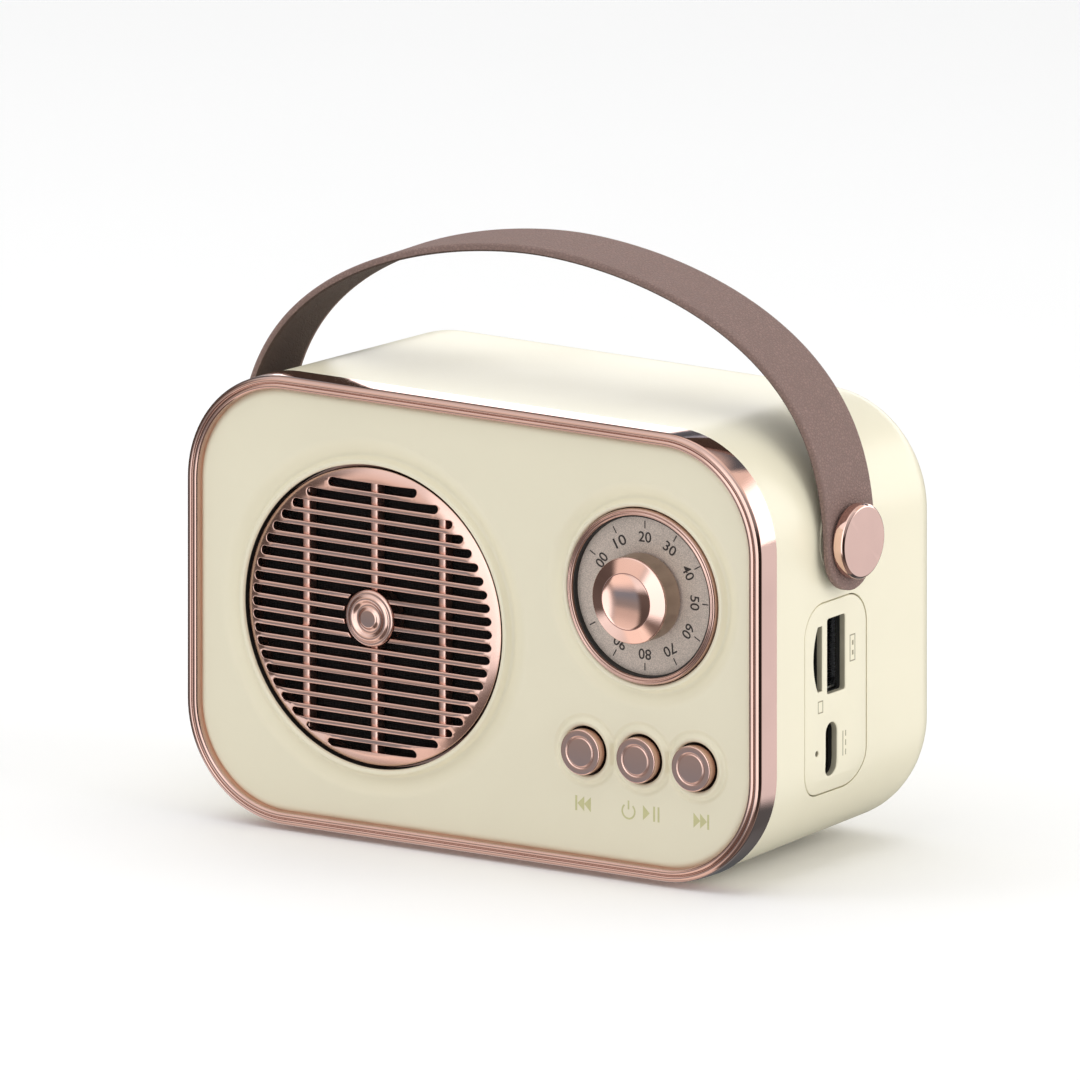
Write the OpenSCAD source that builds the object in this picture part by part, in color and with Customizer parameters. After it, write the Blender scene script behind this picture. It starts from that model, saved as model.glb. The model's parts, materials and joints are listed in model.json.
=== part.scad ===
// Portable radio and wireless speaker with a leather carrying strap.
// The origin is on the ground under the middle of the overall box: +X is to the right as the
// listener sees the front, -Y points to the listener and +Z is up.

/* [Case] */
// Width across the front trim ring
case_w = 130; // [128:1:134]
// Height of the trim ring
case_h = 86.5; // [86:0.5:90]
// Depth from the face of the trim ring to the back
case_d = 64.5; // [64:0.5:70]
// Corner radius seen from the front
corner_r = 22; // [20:0.5:24]
// Lean of each side towards the back, in degrees
draft = 1.6; // [1:0.1:2]
// Radius of the edge around the back
back_edge_r = 8; // [6:0.5:10]
// Wall thickness of the moulded case
wall = 2.2; // [2:0.1:2.6]

/* [Trim ring] */
// Width of the trim seen from the front
trim_w = 2.65; // [2.2:0.05:3]
// Depth of the trim's side band
trim_d = 6; // [5:0.5:7]

/* [Front] */
// Radius of the speaker grille
grille_r = 29.1; // [28.5:0.1:29.4]
// Number of horizontal slots in the grille
slot_count = 21; // [15:2:21]
// Height of one grille slot
slot_h = 1.55; // [1.3:0.05:1.6]
// Outer radius of the ring around the dial
dial_r = 16.95; // [16:0.05:17.5]
// Radius of the volume knob
knob_r = 8.35; // [7.5:0.05:9]
// How far the knob stands out in front of the trim ring
knob_reach = 4.75; // [4:0.05:5.5]
// Radius of a button
button_r = 4.4; // [4:0.1:4.6]
// How far a button goes in when pressed
button_travel = 0.8; // [0.4:0.1:0.9]

/* [Strap] */
// Distance between the strap's two inner faces at the studs
strap_span = 131.2; // [131.2:0.2:133]
// Height of the strap's arch above its straight ends
strap_rise = 56.8; // [50:0.2:60]
// Width of the strap
strap_w = 15.8; // [14:0.2:17]
// Thickness of the strap
strap_t = 1.6; // [1.4:0.1:1.8]
// Radius of a stud's head
stud_r = 7.2; // [6.5:0.1:7.6]

/* [Feet] */
// Ground clearance under the trim ring
foot_h = 1; // [0.8:0.1:2]

/* [Hidden] */

$fn = 96;
hull_fn = 32;
over = 0.1;        // overlap of pieces that are fused, and overrun of cuts
fit = 0.1;         // gap around a piece that sits in a recess

// Colours
cream = "#ded8c2";
rose_gold = "#c8967e";
leather = "#8c7670";
plate_grey = "#c4bab8";
ink = "#2b2725";
steel = "#b4b6b8";
board_green = "#2f5d3c";
copper = "#b5693a";

// The frame: depths run backwards from the face of the trim ring, heights from its middle
face_y = -(case_d - knob_reach) / 2;
mid_z = foot_h + case_h / 2;

// Case
trim_lip_t = 1;                          // thickness of the trim's front lip
trim_band_t = 1.45;                      // thickness of its side band
panel_near = trim_lip_t;                 // front face of the panel
panel_far = panel_near + 2.4;            // back face of the panel
panel_inset = trim_band_t + fit;
shell_inset = 0.3;                       // the shell lies this far inside the trim's outline
rear_d = case_d - back_edge_r + shell_inset;   // where the back edge's rounding starts
floor_x = 36;                            // feet, from the middle
feet_d = [14, 44];
foot_r = 4.5;
foot_seat_h = 2.6;                       // of the thickened wall over each foot
foot_sunk = 1.2;
boss_at = [for (sx = [-1, 1], sz = [-1, 1]) [sx * 50.5, sz * 31.2]];
boss_r = 3;
post_r = 4;
boss_end = 24.9;                         // the panel's bosses meet the shell's posts here
pilot_r = 1.15;
shelf_d = 29;                            // screw heads sit on this shelf
head_bore_r = 2.7;

// Openings in the front
speaker_at = [-23.1, -0.7];
dial_at = [38, 11.1];
button_z = -20.3;
button_x = [24.95, 37.55, 50.05];
lip_w = 1;
lip_proud = 0.35;
moulded_fit = 0.15;

// Grille
slot_pitch = 2.51;
slot_field_r = 27;
rib_x = [-15.4, 0, 15.4];
rib_w = 1.65;
web_near = 0.2;
web_far = 2;
rib_far = 3.6;
hub_r = 5.3;
rim_inner_r = 27.6;
flange_r = 31.4;
flange_far = panel_far + 1.2;
boss_disc_r = 5.5;
boss_pin_r = 1.5;

// Speaker driver, depths of its stack
screen_far = flange_far + 0.2;
gasket_far = screen_far + 1;
surround_t = 0.4;
frame_near = gasket_far + surround_t;
frame_far = frame_near + 1.2;
ear_r = 3.6;
ear_at = [for (sx = [-1, 1], sz = [-1, 1]) [sx * 24.4, sz * 24.4]];
frame_r = 30.5;
frame_hole_r = 26;
basket_far = 17.4;
gap_plate_far = basket_far + 2.5;
magnet_far = gap_plate_far + 8;
yoke_far = magnet_far + 2.5;
pole_r = 7.4;
coil_r = 7.9;
coil_t = 0.4;

// Dial and knob
ring_near = 0.25;
ring_inner_r = 14.8;
dial_near = 1.7;
dial_far = 2.9;
dial_seat_r = 15.7;
bush_r = 3.4;
shaft_r = 3;
shaft_bore_r = shaft_r + 0.05;
knob_gap = 0.5;                          // between the knob's skirt and the dial
dish_r = 5.4;
dish_t = 0.8;
dish_sunk = 0.9;

// Buttons, switches and boards
button_near = -0.9;
button_groove = [2.6, 3.5];               // inner and outer radius
button_groove_depth = 0.35;
button_slope = 0.3;                      // width of the groove's sides and of the edge
button_flange_r = 5.5;
button_flange_near = panel_far + 0.05;
button_flange_far = button_flange_near + 1;
stem_r = 1.5;
stem_far = 8;
switch_near = stem_far + button_travel + 0.1;
board_near = 13;
board_far = 14.4;
main_near = 22.9;
main_far = 24.1;
board_post_at = [[17, -23], [58.8, -14], [17, 23.5], [57.5, 23.5]];
standoff_at = [[18, -10], [18, 9], [44, -24.4], [50, 9]];
screw_hole_r = 1.2;

// Ports on the right-hand side, along the wall from the plate's middle
plate_d = 27.05;
plate_z = -9.55;
plate_w = 22;
plate_h = 37.5;
plate_r = 6.5;
plate_t = 1.2;
plate_ledge = 1.5;                       // the plate overlaps the window's edge by this much
usb_at = [27.35, -1.65];
usb_cut = [6.3, 14.5];
card_at = [21.75, -1.65];
card_cut = [1.7, 12.6];
charge_at = [25.7, -19.65];
charge_cut = [4, 10.4];
light_at = [20.6, -19.65];
light_r = 0.6;
port_mouth_x = 61.8;

// Strap and studs
strap_half = strap_span / 2;
stud_d = 28.3;
stud_z = 20.5;
arch_z = 11.5;                           // the straight ends reach up to here
arch_across = 2 / 1.85;                  // exponents of the arch's superellipse
arch_up = 2 / 3.06;
arch_steps = 48;
strap_end_below = 9.6;
stud_shank_r = 2.5;
strap_bore_r = 2.55;
stud_play = 0.15;
stud_head_t = 2.45;
seat_x = 64.4;                           // flat seat for the washer on the case's side
seat_r = 6.8;
washer_r = 4.6;
washer_gap = 0.55;                       // leaves room for the arch's curve above the stud
nut_far_x = 58.3;
side_reach = 10;                         // of cuts that start there and leave through the wall
nut_t = 3;

// Battery
cell_r = 9.25;
cell_l = 65;
cell_d = 47;
cell_z = -27.6;

// Half of the case's width or height, at a depth, less an inset
function at_depth(half, d, inset) = half - inset - tan(draft) * max(0, d - trim_d);

// The case's outline from the front, drawn in by an inset
module outline(inset) rounded_rect(case_w - 2 * inset, case_h - 2 * inset, corner_r - inset);

module rounded_rect(w, h, r) {
    square([w - 2 * r, h], center = true);
    square([w, h - 2 * r], center = true);
    for (sx = [-1, 1], sy = [-1, 1])
        translate([sx * (w / 2 - r), sy * (h / 2 - r)]) circle(r);
}

// A round-ended bar along X
module slot_shape(length, width) {
    square([length - width, width], center = true);
    for (s = [-1, 1]) translate([s * (length - width) / 2, 0]) circle(width / 2);
}

// Stands a front-view outline up, from one depth to another
module slab(near, far) {
    translate([0, face_y + far, mid_z]) rotate([90, 0, 0]) linear_extrude(far - near) children();
}

// A round bar along the depth
module rod(at, r, near, far) slab(near, far) translate(at) circle(r);

// Turns a profile of [radius, depth] points about an axis along the depth
module turned(at) {
    translate([at[0], face_y, mid_z + at[1]]) rotate([-90, 0, 0]) rotate_extrude() children();
}

// A round bar along X, at a depth and height
module cross_rod(d, z, r, x_low, x_high) {
    translate([x_low, face_y + d, mid_z + z]) rotate([0, 90, 0]) cylinder(h = x_high - x_low, r = r);
}

// A box given by its x, depth and height limits
module block(x, d, z) {
    translate([x[0], face_y + d[0], mid_z + z[0]]) cube([x[1] - x[0], d[1] - d[0], z[1] - z[0]]);
}

// Pushes the port plate's outline, drawn in by an inset, through the right wall
module through_right_wall(inset) {
    translate([nut_far_x, face_y + plate_d, mid_z + plate_z]) rotate([90, 0, 90])
        linear_extrude(side_reach) rounded_rect(plate_w - 2 * inset, plate_h - 2 * inset, plate_r - inset);
}

// A pair of limits on either side of a middle
function around(middle, half) = [middle - half, middle + half];

// A point on the smooth curve through four points, between the middle two
function eased(p, t) = (2 * p[1] + (p[2] - p[0]) * t + (2 * p[0] - 5 * p[1] + 4 * p[2] - p[3]) * t * t
    + (3 * p[1] - p[0] - 3 * p[2] + p[3]) * t * t * t) / 2;

// The curve through a list of points, in a few steps between each two
function smooth(points, steps = 4) = let (last = len(points) - 1) concat(
    [for (i = [0 : last - 1], s = [0 : steps - 1])
        eased([for (k = [-1 : 2]) points[min(last, max(0, i + k))]], s / steps)],
    [points[last]]
);

// An insulated wire through a list of [x, depth, height] points
module wire(points, r, sides = 8) {
    route = smooth([for (p = points) [p[0], face_y + p[1], mid_z + p[2]]]);
    last = len(route) - 1;
    rings = [for (i = [0 : last]) let (
        ahead = route[min(last, i + 1)] - route[max(0, i - 1)],
        along = ahead / norm(ahead),
        side = cross(along, [0.35, 0.25, 1]),
        out = side / norm(side),
        up = cross(out, along)
    ) [for (a = [0 : 360 / sides : 359]) route[i] + r * (cos(a) * out + sin(a) * up)]];
    polyhedron(
        [for (ring = rings, p = ring) p],
        concat(
            [[for (k = [sides - 1 : -1 : 0]) k]],
            [for (i = [0 : last - 1], k = [0 : sides - 1])
                let (a = i * sides + k, b = i * sides + (k + 1) % sides) [a, b, b + sides, a + sides]],
            [[for (k = [0 : sides - 1]) last * sides + k]]
        )
    );
}

// ---- Case ----

module front_bezel() color(rose_gold) difference() {
    slab(0, trim_d) outline(0);
    slab(-over, trim_lip_t + over) outline(trim_w);
    slab(trim_lip_t, trim_d + over) outline(trim_band_t);
}

// A raised lip around a round opening in the panel
module lip(at, r) rod(at, r + lip_w, panel_near - lip_proud, panel_near + over);

module front_panel() color(cream) difference() {
    union() {
        slab(panel_near, panel_far) outline(panel_inset);
        lip(speaker_at, grille_r);
        lip(dial_at, dial_r);
        for (x = button_x) lip([x, button_z], button_r);
        for (p = boss_at) rod(p, boss_r, panel_far - over, boss_end);
        for (p = ear_at) rod(speaker_at + p, 2.6, panel_far - over, frame_near);
        for (p = board_post_at) rod(p, 2.3, panel_far - over, board_near);
    }
    rod(speaker_at, grille_r + fit, -over, panel_far + over);
    rod(dial_at, dial_r + fit, -over, panel_far + over);
    for (x = button_x) rod([x, button_z], button_r + moulded_fit, -over, panel_far + over);
    for (p = boss_at) rod(p, pilot_r, 12, boss_end + over);
    for (p = ear_at) rod(speaker_at + p, 0.85, 2.2, frame_near + over);
    for (p = board_post_at) rod(p, 0.85, 6, board_near + over);
}

// One slice of the shell's tapered form at a depth
module shell_slice(d, inset) {
    slab(d, d + 0.02)
        rounded_rect(2 * at_depth(case_w / 2, d, inset), 2 * at_depth(case_h / 2, d, inset),
                     corner_r - inset, $fn = hull_fn);
}

// Solid tapered form with a rounded back edge, drawn in by an inset
module shell_form(inset, near) {
    r = back_edge_r - inset;
    hull() {
        shell_slice(near, inset);
        for (a = [0 : 15 : 90])
            shell_slice(rear_d + r * sin(a) - 0.02, inset + r * (1 - cos(a)));
    }
}

module rear_shell() color(cream) difference() {
    union() {
        difference() {
            shell_form(shell_inset, trim_d);
            shell_form(shell_inset + wall, trim_d - over);
        }
        difference() {
            slab(panel_far + fit, trim_d + 1) outline(panel_inset);
            slab(panel_far, trim_d + 2) outline(panel_inset + 1.3);
        }
        intersection() {
            shell_form(shell_inset, trim_d);
            union() {
                for (p = boss_at) rod(p, post_r, boss_end + fit, case_d);
                for (s = [-1, 1], d = feet_d)
                    translate([s * floor_x, face_y + d, 0])
                        cylinder(h = foot_bed(d) + foot_seat_h, r = foot_r + 1.5);
            }
        }
        for (s = [0, 1]) mirror([s, 0, 0]) cross_rod(stud_d, stud_z, seat_r, nut_far_x, seat_x);
    }
    for (p = boss_at) {
        rod(p, head_bore_r, shelf_d, case_d + over);
        rod(p, screw_hole_r + fit * 2, boss_end, shelf_d + over);
    }
    for (s = [0, 1]) mirror([s, 0, 0])
        cross_rod(stud_d, stud_z, stud_shank_r + 0.1, nut_far_x - over, seat_x + over);
    for (s = [-1, 1], d = feet_d)
        translate([s * floor_x, face_y + d, -over])
            cylinder(h = foot_bed(d) + foot_sunk + over, r = foot_r + fit);
    // The port plate lies in a step around its window
    difference() {
        through_right_wall(-fit);
        shell_form(shell_inset + plate_t + fit, trim_d);
    }
    through_right_wall(plate_ledge);
}

// Height of the case's underside at a depth
function foot_bed(d) = mid_z - at_depth(case_h / 2, d, shell_inset);

module port_plate() color(cream) difference() {
    // The plate follows the wall, which bends in at the bottom
    intersection() {
        through_right_wall(0);
        difference() {
            shell_form(shell_inset, trim_d);
            shell_form(shell_inset + plate_t, trim_d - over);
        }
    }
    port_cut(usb_at) rounded_rect(usb_cut[0], usb_cut[1], 0.5);
    port_cut(card_at) square(card_cut, center = true);
    port_cut(charge_at) rotate(90) slot_shape(charge_cut[1], charge_cut[0]);
    port_cut(light_at) circle(light_r);
}

// A cut straight through the port plate, along X
module port_cut(at) {
    translate([nut_far_x, face_y + at[0], mid_z + at[1]])
        rotate([90, 0, 90]) linear_extrude(side_reach) children();
}

module rubber_feet() color(ink)
    for (s = [-1, 1], d = feet_d)
        translate([s * floor_x, face_y + d, 0]) cylinder(h = foot_bed(d) + foot_sunk - fit, r = foot_r);

module case_screws() color(steel)
    for (p = boss_at) {
        rod(p, 1.1, 15, shelf_d + over);
        difference() {
            rod(p, 2.4, shelf_d, shelf_d + 1.7);
            for (a = [0, 90]) slab(shelf_d + 0.8, shelf_d + 2) translate(p) rotate(a)
                square([2.6, 0.6], center = true);
        }
    }

// ---- Grille ----

module grille_slots() {
    last = (slot_count - 1) / 2;
    for (i = [-last : last])
        let (half = sqrt(pow(slot_field_r, 2) - pow(i * slot_pitch, 2)))
            translate([0, i * slot_pitch]) slot_shape(2 * half, slot_h);
}

module speaker_grille() color(rose_gold) difference() {
    union() {
        slab(web_near, web_far) translate(speaker_at) difference() {
            circle(grille_r);
            grille_slots();
        }
        difference() {
            union() {
                rod(speaker_at, grille_r, web_far - over, panel_far + over);
                rod(speaker_at, flange_r, panel_far, flange_far);
            }
            rod(speaker_at, rim_inner_r, web_far - 2 * over, flange_far + over);
        }
        for (x = rib_x) let (half = sqrt(pow(rim_inner_r, 2) - x * x))
            slab(web_far - over, rib_far) translate(speaker_at + [x, 0])
                square([rib_w, 2 * half + 0.6], center = true);
        rod(speaker_at, hub_r, web_near, rib_far);
    }
    rod(speaker_at, boss_pin_r + 0.05, -over, rib_far + over);
}

module grille_boss() color(rose_gold) turned(speaker_at) polygon([
    [0, -0.9], [1.9, -0.9], [2.2, -0.6], [3.2, -0.6], [3.6, -0.9], [4.4, -0.9],
    [boss_disc_r, 0], [boss_disc_r, web_near], [boss_pin_r, web_near],
    [boss_pin_r, rib_far], [0, rib_far]
]);

module dust_screen() color(ink) rod(speaker_at, flange_r, flange_far, screen_far);

// ---- Speaker driver ----

module speaker_gasket() color(ink) difference() {
    rod(speaker_at, frame_r, screen_far, gasket_far);
    rod(speaker_at, frame_hole_r + 0.6, screen_far - over, gasket_far + over);
}

module speaker_frame() color(steel) difference() {
    union() {
        slab(frame_near, frame_far) translate(speaker_at) {
            circle(frame_r);
            for (a = [45, 135]) rotate(a) slot_shape(2 * (norm(ear_at[0]) + ear_r), 2 * ear_r);
        }
        turned(speaker_at) polygon([
            [27, frame_near + 0.3], [28.4, frame_near + 0.3], [18, basket_far], [9.6, basket_far],
            [9.6, basket_far - 1.2], [15.4, basket_far - 1.2], [15.4, 14.6], [17, 14.6],
            [17.4, 15.6]
        ]);
    }
    rod(speaker_at, frame_hole_r, frame_near - over, frame_far + 0.4);
    for (a = [0, 90]) slab(9.4, 14) translate(speaker_at) rotate(a) square([60, 15], center = true);
    for (p = ear_at) rod(speaker_at + p, screw_hole_r, frame_near - over, frame_far + over);
}

module cone_surround() color(ink) turned(speaker_at) {
    roll_at = [23.6, frame_near];
    difference() {
        translate(roll_at) circle(2.4);
        translate(roll_at) circle(2);
        translate([20, frame_near - 4]) square([8, 4]);
    }
    translate([25.6, gasket_far]) square([3.2, surround_t]);
    translate([20.7, gasket_far]) square([0.9, surround_t]);
}

module speaker_cone() color("#3a3735") turned(speaker_at) polygon([
    [21.15, frame_near], [20.7, frame_near + 0.9], [8.35, 13.6],
    [8.35, 13.05], [20.5, frame_near]
]);

module dust_cap() color(ink) turned(speaker_at) intersection() {
    translate([0, 9.6 + 13]) difference() {
        circle(13);
        circle(12.6);
    }
    square([8.25, 12.4]);
}

module voice_coil() color(copper) turned(speaker_at) {
    translate([coil_r, 12.5]) square([coil_t, 9.8]);
    translate([coil_r + coil_t - 0.05, 18]) square([0.4, 3.4]);
}

module spider() color("#a88438") turned(speaker_at) polygon([
    [8.35, 14.2], [9.9, 14.2], [10.7, 13.9], [11.5, 14.2], [12.3, 13.9], [13.1, 14.2],
    [16.8, 14.2], [16.8, 14.55], [13.1, 14.55], [12.3, 14.25], [11.5, 14.55], [10.7, 14.25],
    [9.9, 14.55], [8.35, 14.55]
]);

// A flat ring of the magnet system
module magnet_ring(inner, outer, near, far) difference() {
    rod(speaker_at, outer, near, far);
    rod(speaker_at, inner, near - over, far + over);
}

module top_plate() color(steel) magnet_ring(9, 15.5, basket_far, gap_plate_far);

module magnet() color(ink) magnet_ring(10.5, 16.5, gap_plate_far, magnet_far);

module yoke() color(steel) {
    rod(speaker_at, pole_r, basket_far, magnet_far + over);
    rod(speaker_at, 15.5, magnet_far, yoke_far);
}

module terminal_strip() color("#b08c5a") block([4.6, 12], [frame_far, frame_far + 1.4], [-6, 6]);

// A screw along the depth: its head lies behind the given depth
module small_screw(at, seat, length) {
    rod(at, 0.8, seat - length, seat + over);
    rod(at, 1.6, seat, seat + 1.1);
}

module speaker_screws() color(steel)
    for (p = ear_at) small_screw(speaker_at + p, frame_far, 4.6);

// ---- Dial and knob ----

module dial_ring() color(rose_gold) turned(dial_at) polygon([
    [ring_inner_r, dial_near], [ring_inner_r, 0.6], [15.2, ring_near], [15.7, 0.55],
    [16.3, ring_near], [dial_r, 0.7], [dial_r, panel_far], [18.2, panel_far], [18.2, 4.4],
    [dial_seat_r + fit, 4.4], [dial_seat_r + fit, dial_near]
]);

module dial_plate() color(plate_grey) difference() {
    rod(dial_at, dial_seat_r, dial_near, dial_far);
    rod(dial_at, bush_r + 0.3, dial_near - over, dial_far + over);
}

module volume_knob() color(rose_gold) turned(dial_at) difference() {
    polygon([
        [0, -knob_reach + 0.4], [dish_r + 0.15, -knob_reach + 0.4],
        [dish_r + 0.6, -knob_reach], [knob_r - 0.5, -knob_reach + 0.9],
        [knob_r, -knob_reach + 1.4], [knob_r, dial_near - knob_gap],
        [knob_r - 1.2, dial_near - knob_gap], [knob_r - 1.2, -knob_reach + 3.4],
        [4.8, -knob_reach + 3.4], [4.8, dial_near - knob_gap], [0, dial_near - knob_gap]
    ]);
    square([2 * shaft_bore_r, 12], center = true);
    translate([0, -knob_reach]) square([dish_r + 0.05, dish_sunk + dish_t]);
}

module knob_dish() color(rose_gold) turned(dial_at) difference() {
    translate([0, -knob_reach + 0.15]) square([dish_r, dish_sunk + dish_t - 0.2]);
    translate([0, -knob_reach + dish_sunk - 17]) circle(17);
}

module control_shaft() color(steel) difference() {
    rod(dial_at, shaft_r, -knob_reach + dish_sunk + dish_t + 0.1, board_near - 2);
    slab(-knob_reach, dial_near) translate(dial_at + [2.2, -4]) square([2, 8]);
}

module potentiometer() color(steel) difference() {
    union() {
        rod(dial_at, bush_r, dial_far - 0.6, 7);
        slab(6.4, board_near) translate(dial_at) square([12, 12], center = true);
    }
    rod(dial_at, shaft_bore_r, 0, board_near - 1.9);
}

// ---- Buttons and switches ----

module button(x) color(rose_gold) turned([x, button_z]) polygon([
    [0, button_near], [button_groove[0], button_near],
    [button_groove[0] + button_slope, button_near + button_groove_depth],
    [button_groove[1] - button_slope, button_near + button_groove_depth],
    [button_groove[1], button_near], [button_r - button_slope, button_near],
    [button_r, button_near + button_slope], [button_r, button_flange_near],
    [button_flange_r, button_flange_near], [button_flange_r, button_flange_far],
    [stem_r, button_flange_far], [stem_r, stem_far], [0, stem_far]
]);

module previous_button() button(button_x[0]);
module play_button() button(button_x[1]);
module next_button() button(button_x[2]);

module switch_body(x) color(ink) difference() {
    slab(switch_near, board_near) translate([x, button_z]) square([6, 6], center = true);
    rod([x, button_z], 1.6, switch_near - over, switch_near + 2.6);
}

module previous_switch() switch_body(button_x[0]);
module play_switch() switch_body(button_x[1]);
module next_switch() switch_body(button_x[2]);

module plunger(x) color("#d8d4cc") rod([x, button_z], 1.5, stem_far, switch_near + 1.6);

module previous_plunger() plunger(button_x[0]);
module play_plunger() plunger(button_x[1]);
module next_plunger() plunger(button_x[2]);

// ---- Boards ----

module control_board() color(board_green) difference() {
    block([14, 61.2], [board_near, board_far], [-26.6, 26.6]);
    for (p = concat(board_post_at, standoff_at))
        rod(p, screw_hole_r, board_near - over, board_far + over);
}

module board_standoffs() color("#c9a24b") difference() {
    for (p = standoff_at) slab(board_far, main_near) translate(p) circle(2.6, $fn = 6);
    for (p = standoff_at) rod(p, 0.85, board_far - over, main_near + over);
}

module main_board() color(board_green) difference() {
    block([12, 61.2], [main_near, main_far], [-26.6, 12.4]);
    for (p = standoff_at) rod(p, screw_hole_r, main_near - over, main_far + over);
}

module board_screws() color(steel) {
    for (p = board_post_at) small_screw(p, board_far, 7);
    for (p = standoff_at) small_screw(p, main_far, 4.4);
}

module amplifier_chip() color(ink) block([24, 34], [main_far, main_far + 1.7], [-13, -3]);

module radio_module() color("#3d6fa0") block([26, 46], [main_near - 3, main_near], [-8, 6]);

module capacitors() color("#39424f")
    for (x = [22, 30, 38]) rod([x, -20], 3, main_far, main_far + 8);

// ---- Ports ----

// A rectangular metal tube along X with its mouth at the port plate
module port_tube(at, outer, r, wall_t, length) {
    translate([port_mouth_x - length, face_y + at[0], mid_z + at[1]]) rotate([90, 0, 90])
        difference() {
            linear_extrude(length) rounded_rect(outer[0], outer[1], r);
            translate([0, 0, 1]) linear_extrude(length)
                rounded_rect(outer[0] - 2 * wall_t, outer[1] - 2 * wall_t, r - wall_t);
        }
}

module usb_shell() color(steel) port_tube(usb_at, [6.1, 14], 0.8, 0.35, 14);

module usb_tongue() color(ink)
    block([port_mouth_x - 13, port_mouth_x - 1.5], around(usb_at[0] + 0.6, 0.9), around(usb_at[1], 5.6));

module charge_shell() color(steel) port_tube(charge_at, [3.2, 9], 1.59, 0.3, 7.5);

module charge_tongue() color(ink)
    block([port_mouth_x - 6.5, port_mouth_x - 1.2], around(charge_at[0], 0.35), around(charge_at[1], 3.3));

module card_socket() color(steel) difference() {
    block([46, port_mouth_x], [main_near - 1.9, main_near], around(card_at[1], 7.2));
    block([47, port_mouth_x + over], around(card_at[0] + 0.1, 0.5), around(card_at[1], 5.7));
}

module charge_light() color("#e8e4d8")
    block([58.6, port_mouth_x - 0.2], [light_at[0] - 0.7, main_near], around(light_at[1], 0.9));

// ---- Battery and wiring ----

module battery_cell() color("#3a6ea8") cross_rod(cell_d, cell_z, cell_r, -cell_l / 2, cell_l / 2);

module battery_holder() color(ink) difference() {
    block([-34.4, 34.4], [cell_d - 10.5, cell_d + 10.5], [-39.1, cell_z + 1]);
    cross_rod(cell_d, cell_z, cell_r + fit, -cell_l / 2 - 0.5, cell_l / 2 + 0.5);
}

module battery_leads() {
    color("#b02a22") wire([[36, 45, -23], [40, 39, -18], [43, 32, -14], [44, 24.5, -12.5]], 0.7);
    color(ink) wire([[36, 49, -25], [43, 42, -20], [47, 33, -17], [47.5, 24.5, -16]], 0.7);
}

module speaker_leads() {
    color("#b02a22")
        wire([[9, 9.4, 3], [9.6, 16, 3], [9.6, 24, 3], [13, 27, 2.6], [16, 26.5, 1.5], [17, 24.5, 1]], 0.6);
    color(ink)
        wire([[9, 9.4, -3], [9.6, 16, -3], [9.6, 24, -3], [13, 27, -3.4], [16, 26.5, -4.5], [17, 24.5, -5]],
             0.6);
}

module antenna_wire() color(ink)
    wire([[30, 24.8, 10], [30, 34, 24], [28, 44, 38], [0, 46, 38.2], [-34, 46, 38]], 0.5);

// ---- Strap ----

// Points of the arch from the right end to the left, a distance out from its inner face
function arch_point(a, out) = let (s = sin(a), c = cos(a)) [
    sign(c) * (strap_half * pow(abs(c), arch_across)) + out * arch_normal(a)[0],
    arch_z + strap_rise * pow(s, arch_up) + out * arch_normal(a)[1]
];

// Direction square to the arch, pointing out
function arch_normal(a) = let (
    n = [cos(a) == 0 ? 0 : sign(cos(a)) * pow(abs(cos(a)), 2 - arch_across) / strap_half,
         pow(sin(a), 2 - arch_up) / strap_rise]
) n / norm(n);

module strap_side_view() {
    ends = [for (s = [0 : arch_steps]) 90 - 90 * cos(180 * s / arch_steps)];
    low = stud_z - strap_end_below;
    polygon(concat(
        [[strap_half, low]],
        [for (a = ends) arch_point(a, 0)],
        [[-strap_half, low], [-strap_half - strap_t, low]],
        [for (i = [arch_steps : -1 : 0]) arch_point(ends[i], strap_t)],
        [[strap_half + strap_t, low]]
    ));
}

module handle_strap() color(leather) difference() {
    slab(stud_d - strap_w / 2, stud_d + strap_w / 2) strap_side_view();
    cross_rod(stud_d, stud_z, strap_bore_r, -case_w, case_w);
    // Round both ends of the strap
    translate([-case_w, face_y + stud_d, mid_z + stud_z]) rotate([90, 0, 90])
        linear_extrude(2 * case_w) difference() {
            end_r = strap_w / 2;
            centre = end_r - strap_end_below;
            translate([-end_r - 1, -strap_end_below - 1]) square([strap_w + 2, end_r + 1]);
            translate([0, centre]) circle(end_r);
        }
}

module stud() {
    head_x = strap_half + strap_t + stud_play;
    cross_rod(stud_d, stud_z, stud_r - 0.5, head_x, head_x + stud_head_t);
    cross_rod(stud_d, stud_z, stud_r, head_x, head_x + stud_head_t - 0.5);
    cross_rod(stud_d, stud_z, stud_shank_r, nut_far_x - nut_t, head_x + over);
}

module right_stud() color(rose_gold) stud();
module left_stud() color(rose_gold) mirror([1, 0, 0]) stud();

module strap_washers() color(ink)
    for (s = [0, 1]) mirror([s, 0, 0]) difference() {
        cross_rod(stud_d, stud_z, washer_r, seat_x, strap_half - washer_gap);
        cross_rod(stud_d, stud_z, stud_shank_r + 0.1, seat_x - over, strap_half);
    }

module stud_nuts() color(steel)
    for (s = [0, 1]) mirror([s, 0, 0]) difference() {
        translate([nut_far_x - nut_t, face_y + stud_d, mid_z + stud_z]) rotate([0, 90, 0])
            cylinder(h = nut_t, r = 4.6, $fn = 6);
        cross_rod(stud_d, stud_z, stud_shank_r, nut_far_x - nut_t - over, nut_far_x + over);
    }

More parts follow.
